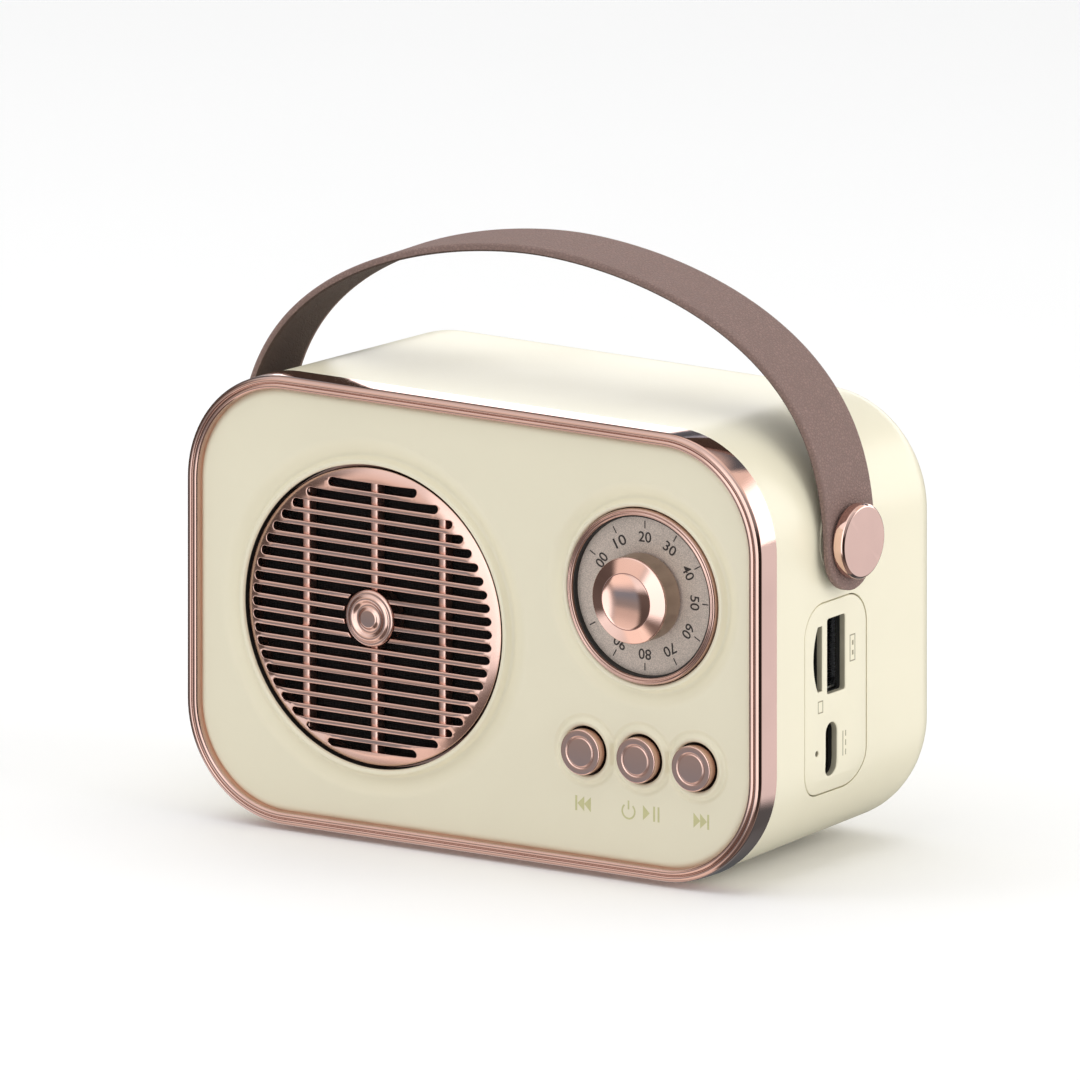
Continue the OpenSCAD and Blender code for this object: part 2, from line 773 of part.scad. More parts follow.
front_bezel();
front_panel();
rear_shell();
port_plate();
rubber_feet();
case_screws();
speaker_grille();
grille_boss();
dust_screen();
speaker_gasket();
speaker_frame();
cone_surround();
speaker_cone();
dust_cap();
voice_coil();
spider();
top_plate();
magnet();
yoke();
terminal_strip();
speaker_screws();
dial_ring();
dial_plate();
volume_knob();
knob_dish();
control_shaft();
potentiometer();
previous_button();
play_button();
next_button();
previous_switch();
play_switch();
next_switch();
previous_plunger();
play_plunger();
next_plunger();
control_board();
board_standoffs();
main_board();
board_screws();
amplifier_chip();
radio_module();
capacitors();
usb_shell();
usb_tongue();
charge_shell();
charge_tongue();
card_socket();
charge_light();
battery_cell();
battery_holder();
battery_leads();
speaker_leads();
antenna_wire();
handle_strap();
left_stud();
right_stud();
strap_washers();
stud_nuts();
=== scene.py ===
"""A portable radio: moulded case, polished trim, round speaker grille, dial and leather strap."""

import json
import math

import bmesh
import bpy
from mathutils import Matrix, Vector
from mathutils.geometry import delaunay_2d_cdt


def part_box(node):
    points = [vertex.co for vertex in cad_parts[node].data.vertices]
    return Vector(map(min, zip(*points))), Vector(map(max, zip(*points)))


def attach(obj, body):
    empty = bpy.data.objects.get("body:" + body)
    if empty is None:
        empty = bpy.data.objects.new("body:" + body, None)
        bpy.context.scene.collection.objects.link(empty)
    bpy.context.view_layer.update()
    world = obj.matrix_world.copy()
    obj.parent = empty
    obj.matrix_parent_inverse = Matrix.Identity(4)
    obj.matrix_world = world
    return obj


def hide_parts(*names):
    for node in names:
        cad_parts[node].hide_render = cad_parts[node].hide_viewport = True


bl_info = {
    "name": "Portable Radio",
    "version": (1, 0, 0),
    "blender": (4, 5, 0),
    "location": "View3D > Sidebar > Radio",
    "description": "Builds the visible pieces of a portable radio around its fixed frame",
    "category": "Object",
}

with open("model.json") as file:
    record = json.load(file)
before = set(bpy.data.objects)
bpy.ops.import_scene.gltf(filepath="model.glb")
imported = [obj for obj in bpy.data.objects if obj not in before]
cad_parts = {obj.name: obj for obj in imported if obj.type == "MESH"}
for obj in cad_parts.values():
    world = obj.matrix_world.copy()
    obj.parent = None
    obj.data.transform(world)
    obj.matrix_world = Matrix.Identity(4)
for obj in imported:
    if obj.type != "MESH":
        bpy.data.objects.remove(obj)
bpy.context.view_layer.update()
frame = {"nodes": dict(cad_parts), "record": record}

# ---- Places, taken from the frame. Case coordinates are millimetres: x to the right, depth
# ---- backwards from the face of the trim, height from the middle of the trim.

MM = 0.001
TRIM_LOW, TRIM_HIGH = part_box("front_bezel")
FACE_Y = TRIM_LOW.y
MID_Z = (TRIM_LOW.z + TRIM_HIGH.z) / 2


def place(x, depth, height):
    """The frame's point, in metres, for case coordinates in millimetres"""
    return Vector((x * MM, FACE_Y + depth * MM, MID_Z + height * MM))


def limits(node):
    """A CAD node's lowest and highest corner in case coordinates"""
    shift = Vector((0, FACE_Y, MID_Z))
    return tuple((corner - shift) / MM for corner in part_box(node))


def middle(node):
    """The middle of a CAD node's box in case coordinates"""
    low, high = limits(node)
    return (low + high) / 2


def front_spot(node):
    """Where a CAD node's middle lies in the front view: x and height"""
    centre = middle(node)
    return centre.x, centre.z


HALF_W = limits("front_bezel")[1].x
HALF_H = limits("front_bezel")[1].z
TRIM_D = limits("front_bezel")[1].y
CASE_D = limits("rear_shell")[1].y
SPEAKER = front_spot("dust_screen")
DIAL = front_spot("dial_ring")
KEYS = ("previous", "play", "next")
KEY_AT = {key: front_spot(key + "_button") for key in KEYS}
GRILLE_R = 29.1
DIAL_R = limits("dial_ring")[1].z - DIAL[1] - 1.25
BUTTON_R = 4.4
SCREW_X, SCREW_Z, SCREW_WELL_R, SCREW_WELL_END = 50.5, 31.2, 2.7, 29
SCREW_AT = [(sx * SCREW_X, sz * SCREW_Z) for sx in (-1, 1) for sz in (-1, 1)]


# ---- Settings ----


def length(name, default, description):
    """A length in millimetres that a user may change"""
    return bpy.props.FloatProperty(name=name, default=default, description=description, min=0)


def angle(name, degrees, description):
    """An angle that a user may change"""
    default = math.radians(degrees)
    return bpy.props.FloatProperty(
        name=name, default=default, description=description, subtype="ANGLE"
    )


def metres(name, default, description):
    """A length of the stage, in metres, that a user may change"""
    return bpy.props.FloatProperty(
        name=name, default=default, description=description, unit="LENGTH"
    )


def colour(name, default, description):
    """A colour that a user may change"""
    return bpy.props.FloatVectorProperty(
        name=name, default=default, description=description, subtype="COLOR", size=3, min=0, max=1
    )


def linear(red, green, blue):
    """A linear colour from the usual 0 to 255 values"""
    values = (red / 255, green / 255, blue / 255)
    return tuple(v / 12.92 if v <= 0.04045 else ((v + 0.055) / 1.055) ** 2.4 for v in values)


class RadioCaseSettings(bpy.types.PropertyGroup):
    """Sizes of the case and its trim"""

    corner: length("Corner radius", 22, "Radius of the case's corners seen from the front")
    draft: angle("Draft", 1.6, "Lean of the case's sides towards the back")
    back_edge: length("Back edge radius", 8, "Radius of the edge around the back")
    wall: length("Wall", 2.2, "Thickness of the moulded case")
    shell_inset: length("Shell inset", 0.3, "How far the shell lies inside the trim's outline")
    panel_roll: length("Panel roll", 1.5, "Radius of the panel's edge beside the trim")
    lip_height: length("Lip height", 0.5, "Height of the raised lips around the openings")
    moat: length("Moat depth", 1.0, "Depth of the shallow dish around each lip")


class RadioGrilleSettings(bpy.types.PropertyGroup):
    """Sizes of the speaker grille"""

    slots: bpy.props.IntProperty(name="Slots", default=21, min=3, description="Number of slots")
    slot_height: length("Slot height", 1.55, "Height of one slot")
    pitch: length("Slot pitch", 2.51, "Distance between two slots")
    field: length("Slot field radius", 27, "The slots end on this radius")
    rib: length("Rib width", 1.65, "Width of the three ribs behind the slots")


class RadioDialSettings(bpy.types.PropertyGroup):
    """Sizes of the dial, the knob and the buttons"""

    digit_height: length("Digit height", 2.05, "Height of the numbers")
    number_width: length("Number width", 2.86, "Width of a number of two digits")
    number_radius: length("Number radius", 11.3, "The numbers' middles lie on this radius")
    knob_radius: length("Knob radius", 8.35, "Radius of the volume knob")
    dish_radius: length("Dish radius", 5.4, "Radius of the dished disc in the knob")


class RadioStrapSettings(bpy.types.PropertyGroup):
    """Sizes of the strap and its studs"""

    width: length("Strap width", 15.8, "Width of the strap")
    thickness: length("Strap thickness", 1.6, "Thickness of the strap")
    edge: length("Strap edge", 0.55, "Rounding of the strap's edges")
    stud_radius: length("Stud radius", 7.2, "Radius of a stud's head")


class RadioFinishSettings(bpy.types.PropertyGroup):
    """Colours of the main finishes"""

    cream: colour("Plastic", linear(238, 231, 206), "Moulded plastic of the case")
    gold: colour("Metal", linear(230, 194, 182), "Polished metal of the trim")
    leather: colour("Leather", linear(144, 120, 113), "Outer face of the strap")
    lining: colour("Lining", linear(84, 68, 62), "Inner face of the strap")
    dial: colour("Dial", linear(212, 198, 187), "Face of the dial")
    ink: colour("Ink", linear(46, 40, 38), "Numbers and marks on the dial")
    marks: colour("Marks", linear(205, 201, 150), "Symbols printed on the case")


class RadioStageSettings(bpy.types.PropertyGroup):
    """Camera and light"""

    azimuth: angle("Azimuth", 34, "Camera's turn to the right of the front")
    elevation: angle("Elevation", 12.8, "Camera's height as an angle")
    view_width: metres("View width", 0.2029, "Width of the camera's view")
    aim_right: metres("Aim right", 0.01274, "How far to the right of the trim's middle it aims")
    aim_up: metres("Aim up", 0.01688, "How far above the trim's middle it aims")


SETTINGS = {
    "radio_case": RadioCaseSettings,
    "radio_grille": RadioGrilleSettings,
    "radio_dial": RadioDialSettings,
    "radio_strap": RadioStrapSettings,
    "radio_finish": RadioFinishSettings,
    "radio_stage": RadioStageSettings,
}


# ---- Outlines ----


def rounded_outline(half_w, half_h, radius, arc=24, run_in=1.2):
    """A rounded rectangle, counterclockwise from the right side, with points just off each arc"""
    points = []
    for quarter in range(4):
        sx = (1, -1, -1, 1)[quarter]
        sy = (1, 1, -1, -1)[quarter]
        cx, cy = sx * (half_w - radius), sy * (half_h - radius)
        turn = [(quarter + i / arc) * math.pi / 2 for i in range(arc + 1)]
        corner = [(cx + radius * math.cos(a), cy + radius * math.sin(a)) for a in turn]
        before = (-math.sin(turn[0]), math.cos(turn[0]))
        after = (-math.sin(turn[-1]), math.cos(turn[-1]))
        if run_in:
            corner.insert(0, (corner[0][0] - run_in * before[0], corner[0][1] - run_in * before[1]))
            corner.append((corner[-1][0] + run_in * after[0], corner[-1][1] + run_in * after[1]))
        points += corner
    return points


def circle(centre, radius, steps=96):
    """A circle, counterclockwise"""
    turn = [2 * math.pi * i / steps for i in range(steps)]
    return [(centre[0] + radius * math.cos(a), centre[1] + radius * math.sin(a)) for a in turn]


def slot_outline(centre, half_length, radius, arc=8):
    """A round-ended bar along the first axis, counterclockwise"""
    points = []
    for side in (1, -1):
        for i in range(arc + 1):
            a = math.pi * (i / arc - 0.5)
            x = side * (half_length - radius + radius * math.cos(a))
            points.append((centre[0] + x, centre[1] + side * radius * math.sin(a)))
    return points


def moved(points, shift):
    """An outline, moved"""
    return [(p[0] + shift[0], p[1] + shift[1]) for p in points]


def inset_in_case(x, height):
    """How far a point lies inside the trim's outline"""
    radius = bpy.context.scene.radio_case.corner
    qx, qy = abs(x) - HALF_W + radius, abs(height) - HALF_H + radius
    outside = math.hypot(max(qx, 0), max(qy, 0))
    return radius - outside - min(max(qx, qy), 0)


def eased(t):
    """A smooth step from 0 to 1"""
    t = min(max(t, 0), 1)
    return t * t * (3 - 2 * t)


# ---- Mesh tools ----


def ring_of(mesh, points):
    """New vertices in a ring"""
    return [mesh.verts.new(p) for p in points]


def bridge(mesh, first, second):
    """Faces between two rings of the same length"""
    count = len(first)
    for i in range(count):
        k = (i + 1) % count
        mesh.faces.new((first[i], first[k], second[k], second[i]))


def loft(mesh, rings, closed=False):
    """Faces through a list of rings of points; a closed loft has no caps"""
    made = [ring_of(mesh, points) for points in rings]
    for a, b in zip(made, made[1:]):
        bridge(mesh, a, b)
    if closed:
        bridge(mesh, made[-1], made[0])
    else:
        mesh.faces.new(reversed(made[0]))
        mesh.faces.new(made[-1])
    return made


def softened(profile, steps=4):
    """A profile whose points may carry a third value: the length of the rounding there"""
    points = []
    for i, point in enumerate(profile):
        here = Vector(point[:2])
        rounding = point[2] if len(point) > 2 else 0
        if not rounding or i in (0, len(profile) - 1):
            points.append(tuple(here))
            continue
        before = Vector(profile[i - 1][:2]) - here
        after = Vector(profile[i + 1][:2]) - here
        a = here + before.normalized() * min(rounding, before.length * 0.48)
        b = here + after.normalized() * min(rounding, after.length * 0.48)
        for k in range(steps + 1):
            t = k / steps
            points.append(tuple(a * (1 - t) ** 2 + here * 2 * t * (1 - t) + b * t * t))
    return points


def lathe(mesh, profile, centre, steps=96, along="depth", closed=False, side=1):
    """Turns a profile of (radius, distance) about an axis along the depth, height or side"""

    def spun(radius, distance, a):
        u, v = centre[0] + radius * math.cos(a), centre[1] + radius * math.sin(a)
        if along == "depth":
            return place(u, distance, v)
        if along == "height":
            return place(u, v, distance)
        return place(side * distance, u, v)

    rings = []
    for radius, distance in profile:
        if radius < 1e-6:
            rings.append([mesh.verts.new(spun(0, distance, 0))])
        else:
            turn = [2 * math.pi * i / steps for i in range(steps)]
            rings.append(ring_of(mesh, [spun(radius, distance, a) for a in turn]))
    pairs = list(zip(rings, rings[1:]))
    if closed:
        pairs.append((rings[-1], rings[0]))
    for a, b in pairs:
        if len(a) == 1 or len(b) == 1:
            tip, base = (a[0], b) if len(a) == 1 else (b[0], a)
            for i in range(steps):
                mesh.faces.new((tip, base[i], base[(i + 1) % steps]))
        else:
            bridge(mesh, a, b)


class Region:
    """A closed outline that can say whether a point lies inside it"""

    def __init__(self, points):
        self.points = points
        self.low = (min(p[0] for p in points), min(p[1] for p in points))
        self.high = (max(p[0] for p in points), max(p[1] for p in points))

    def holds(self, x, y):
        if not (self.low[0] < x < self.high[0] and self.low[1] < y < self.high[1]):
            return False
        inside = False
        previous = self.points[-1]
        for point in self.points:
            if (point[1] > y) != (previous[1] > y):
                share = (y - point[1]) / (previous[1] - point[1])
                if x < point[0] + share * (previous[0] - point[0]):
                    inside = not inside
            previous = point
        return inside


def relief(mesh, outer, holes, guides, stand, thick, rim, hole_rim=None, shaded_steps=()):
    """A thick sheet with rounded rims: outlines are triangulated flat, and stand() lifts a point.

    stand(u, v, back) gives the frame's point. A rim is a list of (outwards, back) steps that
    leads from the face to the full thickness, and guides are closed lines that the faces follow.
    Shaded steps are the materials of a hole's deepest steps, the deepest first: darker finishes
    that paint the shade inside the hole.
    """
    flat, edges = [], []
    for outline in [outer] + holes + guides:
        start, count = len(flat), len(outline)
        flat += [Vector(p) for p in outline]
        edges += [(start + i, start + (i + 1) % count) for i in range(count)]
    flat, _, triangles, _, _, _ = delaunay_2d_cdt(flat, edges, [], 0, 1e-5)
    body, gaps = Region(outer), [Region(hole) for hole in holes]
    kept = []
    for triangle in triangles:
        x = sum(flat[i].x for i in triangle) / 3
        y = sum(flat[i].y for i in triangle) / 3
        if body.holds(x, y) and not any(gap.holds(x, y) for gap in gaps):
            kept.append(tuple(triangle))

    directed = {(t[i], t[(i + 1) % 3]) for t in kept for i in range(3)}
    border = {a: b for a, b in directed if (b, a) not in directed}
    back_to = {b: a for a, b in border.items()}
    used = {i for t in kept for i in t}
    front = {i: mesh.verts.new(stand(flat[i].x, flat[i].y, 0)) for i in used}
    rear = {i: mesh.verts.new(stand(flat[i].x, flat[i].y, thick)) for i in used if i not in border}
    for triangle in kept:
        mesh.faces.new([front[i] for i in triangle])

    is_hole = {}
    for start in border:
        if start in is_hole:
            continue
        loop, here = [start], border[start]
        while here != start and here in border and len(loop) <= len(border):
            loop.append(here)
            here = border[here]
        area = sum(flat[a].x * flat[border[a]].y - flat[border[a]].x * flat[a].y for a in loop)
        is_hole.update({i: area < 0 for i in loop})

    rims = {}
    for i in border:
        before, here, after = flat[back_to[i]], flat[i], flat[border[i]]
        first = (here - before).normalized()
        second = (after - here).normalized()
        outward = Vector((first.y + second.y, -first.x - second.x))
        outward /= max(1 + first.dot(second), 0.7)
        steps = hole_rim if hole_rim and is_hole[i] else rim
        rims[i] = [front[i]]
        for out, back in steps:
            at = here + outward * out
            rims[i].append(mesh.verts.new(stand(at.x, at.y, back)))
        rear[i] = rims[i][-1]
    for a, b in border.items():
        for k in range(min(len(rims[a]), len(rims[b])) - 1):
            wall = mesh.faces.new((rims[b][k], rims[a][k], rims[a][k + 1], rims[b][k + 1]))
            from_end = len(rims[a]) - 2 - k
            if is_hole[a] and from_end < len(shaded_steps):
                wall.material_index = shaded_steps[from_end]
    for triangle in kept:
        mesh.faces.new([rear[i] for i in reversed(triangle)])


def as_piece(mesh, name, material_names, body, replaced=(), sharp=40, recalculate=True):
    """Makes an object of a mesh, gives it its materials and lets it ride on a body"""
    if recalculate:
        bmesh.ops.recalc_face_normals(mesh, faces=mesh.faces)
    data = bpy.data.meshes.new(name)
    mesh.to_mesh(data)
    mesh.free()
    if len(data.polygons) == 0:
        raise RuntimeError(name + " has no faces")
    for polygon in data.polygons:
        polygon.use_smooth = True
    data.set_sharp_from_angle(angle=math.radians(sharp))
    piece = bpy.data.objects.new(name, data)
    bpy.context.scene.collection.objects.link(piece)
    for material_name in material_names:
        data.materials.append(bpy.data.materials[material_name])
    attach(piece, body)
    if replaced:
        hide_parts(*replaced)
    return piece


def lathed_piece(name, profile, centre, finish, body, slot, replaced=(), sharp=50, **turning):
    """A piece of one finish, turned from one profile"""
    mesh = bmesh.new()
    lathe(mesh, profile, centre, **turning)
    as_piece(mesh, name, [finish], body, replaced, sharp=sharp)


def cut_away(piece, cutter_mesh):
    """Cuts a mesh out of a piece, and leaves no modifier behind"""
    data = bpy.data.meshes.new("cutter")
    bmesh.ops.recalc_face_normals(cutter_mesh, faces=cutter_mesh.faces)
    cutter_mesh.to_mesh(data)
    cutter_mesh.free()
    cutter = bpy.data.objects.new("cutter", data)
    bpy.context.scene.collection.objects.link(cutter)
    boolean = piece.modifiers.new("cut", "BOOLEAN")
    boolean.operation = "DIFFERENCE"
    boolean.solver = "EXACT"
    boolean.object = cutter
    bpy.context.view_layer.update()
    evaluated = piece.evaluated_get(bpy.context.evaluated_depsgraph_get())
    result = bpy.data.meshes.new_from_object(evaluated)
    old = piece.data
    piece.modifiers.clear()
    piece.data = result
    result.name = piece.name
    bpy.data.objects.remove(cutter)
    bpy.data.meshes.remove(old)
    for polygon in result.polygons:
        polygon.use_smooth = True
    result.set_sharp_from_angle(angle=math.radians(35))


# ---- Finishes ----


class Nodes:
    """A tree of shader nodes under construction"""

    def __init__(self, tree):
        self.tree = tree
        tree.nodes.clear()

    def link(self, source, target):
        self.tree.links.new(source, target)

    def feed(self, target, value):
        """Gives a socket a value, or links another socket to it"""
        if isinstance(value, bpy.types.NodeSocket):
            self.link(value, target)
        else:
            target.default_value = value

    def add(self, kind, settings=None, **inputs):
        """A node: settings are its own fields, and inputs are values or sockets, _ for a space"""
        node = self.tree.nodes.new(kind)
        for field, value in (settings or {}).items():
            setattr(node, field, value)
        for key, value in inputs.items():
            self.feed(node.inputs[key.replace("_", " ")], value)
        return node

    def maths(self, operation, *values):
        """The result of a sum whose terms are values or sockets"""
        node = self.add("ShaderNodeMath", {"operation": operation})
        for target, value in zip(node.inputs, values):
            self.feed(target, value)
        return node.outputs["Value"]

    def blend(self, share, first, second):
        """A colour between two colours"""
        node = self.add("ShaderNodeMix", {"data_type": "RGBA"}, Factor=share)
        for target, value in zip((node.inputs[6], node.inputs[7]), (first, second)):
            self.feed(target, value if isinstance(value, bpy.types.NodeSocket) else (*value, 1))
        return node.outputs[2]


class Shader(Nodes):
    """A node material under construction"""

    def __init__(self, name, **sockets):
        self.material = bpy.data.materials.get(name) or bpy.data.materials.new(name)
        self.material.use_nodes = True
        super().__init__(self.material.node_tree)
        self.surface = self.add("ShaderNodeBsdfPrincipled", **sockets)
        self.add("ShaderNodeOutputMaterial", Surface=self.surface.outputs["BSDF"])
        self.position = self.add("ShaderNodeTexCoord").outputs["Object"]

    def noise(self, scale, detail=3.0, stretch=None, roughness=0.5):
        """Noise at a number of cells to the metre, stretched if need be"""
        position = self.position
        if stretch:
            mapping = self.add("ShaderNodeMapping", Vector=position, Scale=stretch)
            position = mapping.outputs["Vector"]
        node = self.add(
            "ShaderNodeTexNoise", Vector=position, Scale=scale, Detail=detail, Roughness=roughness
        )
        return node.outputs["Fac"]

    def cells(self, scale, feature="DISTANCE_TO_EDGE"):
        """Cells like those of leather grain"""
        node = self.add(
            "ShaderNodeTexVoronoi", {"feature": feature}, Vector=self.position, Scale=scale
        )
        return node.outputs["Distance"]

    def spread(self, value, low, high, to_low=0.0, to_high=1.0):
        """A value, stretched from one range to another"""
        node = self.add(
            "ShaderNodeMapRange", {"clamp": True}, Value=value,
            From_Min=low, From_Max=high, To_Min=to_low, To_Max=to_high,
        )
        return node.outputs["Result"]

    def edges(self, low, high):
        """1 along the outer edges of a piece, where it wears, and 0 elsewhere; its low end also
        marks the hollows that get painted shade
        """
        return self.spread(self.add("ShaderNodeNewGeometry").outputs["Pointiness"], low, high)

    def set(self, socket, value):
        self.link(value, self.surface.inputs[socket])

    def bump(self, height, distance, strength=1.0):
        """Raises the surface by up to a distance in metres"""
        node = self.add("ShaderNodeBump", Height=height, Distance=distance, Strength=strength)
        self.set("Normal", node.outputs["Normal"])


def shaded(rgb, factor):
    """A colour made lighter or darker"""
    return tuple(min(c * factor, 1) for c in rgb)


def plain_finish(name, rgb, other, patch, rough, grain, height, wear=0.0, **sockets):
    """A finish whose colour and gloss drift, with a fine grain and worn edges"""
    shader = Shader(name, **sockets)
    broad = shader.noise(patch)
    fine = shader.noise(grain, detail=5.0)
    tone = shader.blend(shader.spread(broad, 0.35, 0.65), rgb, other)
    if wear:
        worn = shader.maths("MULTIPLY", shader.edges(0.53, 0.62), wear)
        tone = shader.blend(worn, tone, shaded(rgb, 1.5))
    shader.set("Base Color", tone)
    mixed = shader.maths("MULTIPLY", broad, fine)
    shader.set("Roughness", shader.spread(mixed, 0.12, 0.42, rough[0], rough[1]))
    shader.bump(fine, height)
    return shader


def cream_finish(finish):
    rgb = tuple(finish.cream)
    shader = plain_finish(
        "cream_plastic", rgb, shaded(rgb, 0.97), 24, (0.3, 0.42), 2600, 0.000012,
        Specular_IOR_Level=0.42, Coat_Weight=0.25, Coat_Roughness=0.22,
    )
    # Hollows and inner corners are drawn darker: painted shade where less light reaches
    hollow_shade = shader.spread(shader.edges(0.40, 0.47), 0, 1, 0.25, 0)
    base = shader.surface.inputs["Base Color"].links[0].from_socket
    shade_in_hollows = shader.blend(hollow_shade, base, shaded(rgb, 0.72))
    shader.set("Base Color", shade_in_hollows)


def metal_finish(name, rgb, rough, scratch=0.000004):
    """Polished metal with hairline scratches and a slightly uneven gloss"""
    shader = Shader(name, Metallic=1.0)
    haze = shader.noise(90, detail=2.0)
    hairs = shader.noise(700, detail=4.0, stretch=(1, 1, 14))
    tone = shader.blend(shader.spread(haze, 0.3, 0.7), rgb, shaded(rgb, 0.94))
    worn = shader.maths("MULTIPLY", shader.edges(0.56, 0.66), 0.35)
    shader.set("Base Color", shader.blend(worn, tone, shaded(rgb, 1.12)))
    gloss = shader.maths("MULTIPLY", haze, hairs)
    shader.set("Roughness", shader.spread(gloss, 0.1, 0.45, rough[0], rough[1]))
    shader.bump(hairs, scratch)


def leather_finish(name, rgb, rough, sheen):
    """Leather: a pebbled grain, darker in its creases, with rubbed edges"""
    shader = Shader(name, Specular_IOR_Level=0.25, Sheen_Weight=sheen, Sheen_Roughness=0.5)
    pebbles = shader.cells(1500)
    fine = shader.noise(2600, detail=5.0)
    broad = shader.noise(420, detail=5.0, roughness=0.65)
    raised = shader.spread(pebbles, 0.0, 0.25)
    tone = shader.blend(shader.spread(broad, 0.3, 0.7), shaded(rgb, 0.84), shaded(rgb, 1.14))
    creased = shader.blend(raised, shaded(rgb, 0.8), tone)
    worn = shader.maths("MULTIPLY", shader.edges(0.54, 0.68), 0.45)
    shader.set("Base Color", shader.blend(worn, creased, shaded(rgb, 0.55)))
    height = shader.maths("ADD", raised, shader.maths("MULTIPLY", fine, 0.5))
    shader.set("Roughness", shader.spread(broad, 0.3, 0.7, rough[0], rough[1]))
    shader.bump(height, 0.00009)


def cloth_finish(name, rgb):
    """Fine woven cloth: two sets of threads that cross"""
    shader = Shader(name, Specular_IOR_Level=0.2, Sheen_Weight=0.2)
    threads = []
    for direction in ("X", "Z"):
        wave = shader.add(
            "ShaderNodeTexWave", {"bands_direction": direction}, Vector=shader.position,
            Scale=900.0, Distortion=0.4,
        )
        threads.append(wave.outputs["Fac"])
    weave = shader.maths("MAXIMUM", *threads)
    fuzz = shader.noise(400)
    shader.set("Base Color", shader.blend(weave, shaded(rgb, 0.4), shaded(rgb, 1.4)))
    shader.set("Roughness", shader.spread(fuzz, 0.3, 0.7, 0.75, 0.95))
    shader.bump(weave, 0.00008)


def banded_finish(name, rgb, other, direction, scale, rough, **sockets):
    """Windings, ribs or wrapped layers: bands of two tones along one direction"""
    shader = Shader(name, **sockets)
    wave = shader.add(
        "ShaderNodeTexWave", {"bands_direction": direction}, Vector=shader.position,
        Scale=scale, Distortion=0.6, Detail=2.0,
    )
    bands, broad = wave.outputs["Fac"], shader.noise(120)
    tone = shader.blend(bands, other, rgb)
    shader.set("Base Color", shader.blend(shader.spread(broad, 0.3, 0.9, 0, 0.4), tone, other))
    shader.set("Roughness", shader.spread(broad, 0.3, 0.7, rough[0], rough[1]))
    shader.bump(bands, 0.00005)


def board_finish(name, mask, copper):
    """A circuit board: solder mask over tracks that show as lighter lines"""
    shader = Shader(name, Specular_IOR_Level=0.5, Coat_Weight=0.4, Coat_Roughness=0.2)
    tracks = shader.spread(shader.cells(260), 0.02, 0.05)
    pads = shader.spread(shader.cells(330, "F1"), 0.16, 0.2)
    tone = shader.blend(tracks, shaded(mask, 1.9), mask)
    shader.set("Base Color", shader.blend(pads, copper, tone))
    shader.set("Roughness", shader.spread(shader.noise(300), 0.3, 0.7, 0.28, 0.5))
    shader.bump(tracks, 0.00003)


def dial_finish(finish):
    """The dial's face: fine metallic speckle in a pale pinkish grey"""
    rgb = tuple(finish.dial)
    shader = Shader("dial_face", Metallic=0.25, Specular_IOR_Level=0.4)
    speckle = shader.noise(7500, detail=2.0)
    broad = shader.noise(150)
    tone = shader.blend(shader.spread(speckle, 0.36, 0.64), shaded(rgb, 0.62), shaded(rgb, 1.12))
    shader.set("Base Color", shader.blend(shader.spread(broad, 0.3, 0.9, 0, 0.3), tone, rgb))
    shader.set("Roughness", shader.spread(speckle, 0.3, 0.7, 0.35, 0.55))
    shader.bump(speckle, 0.00001)


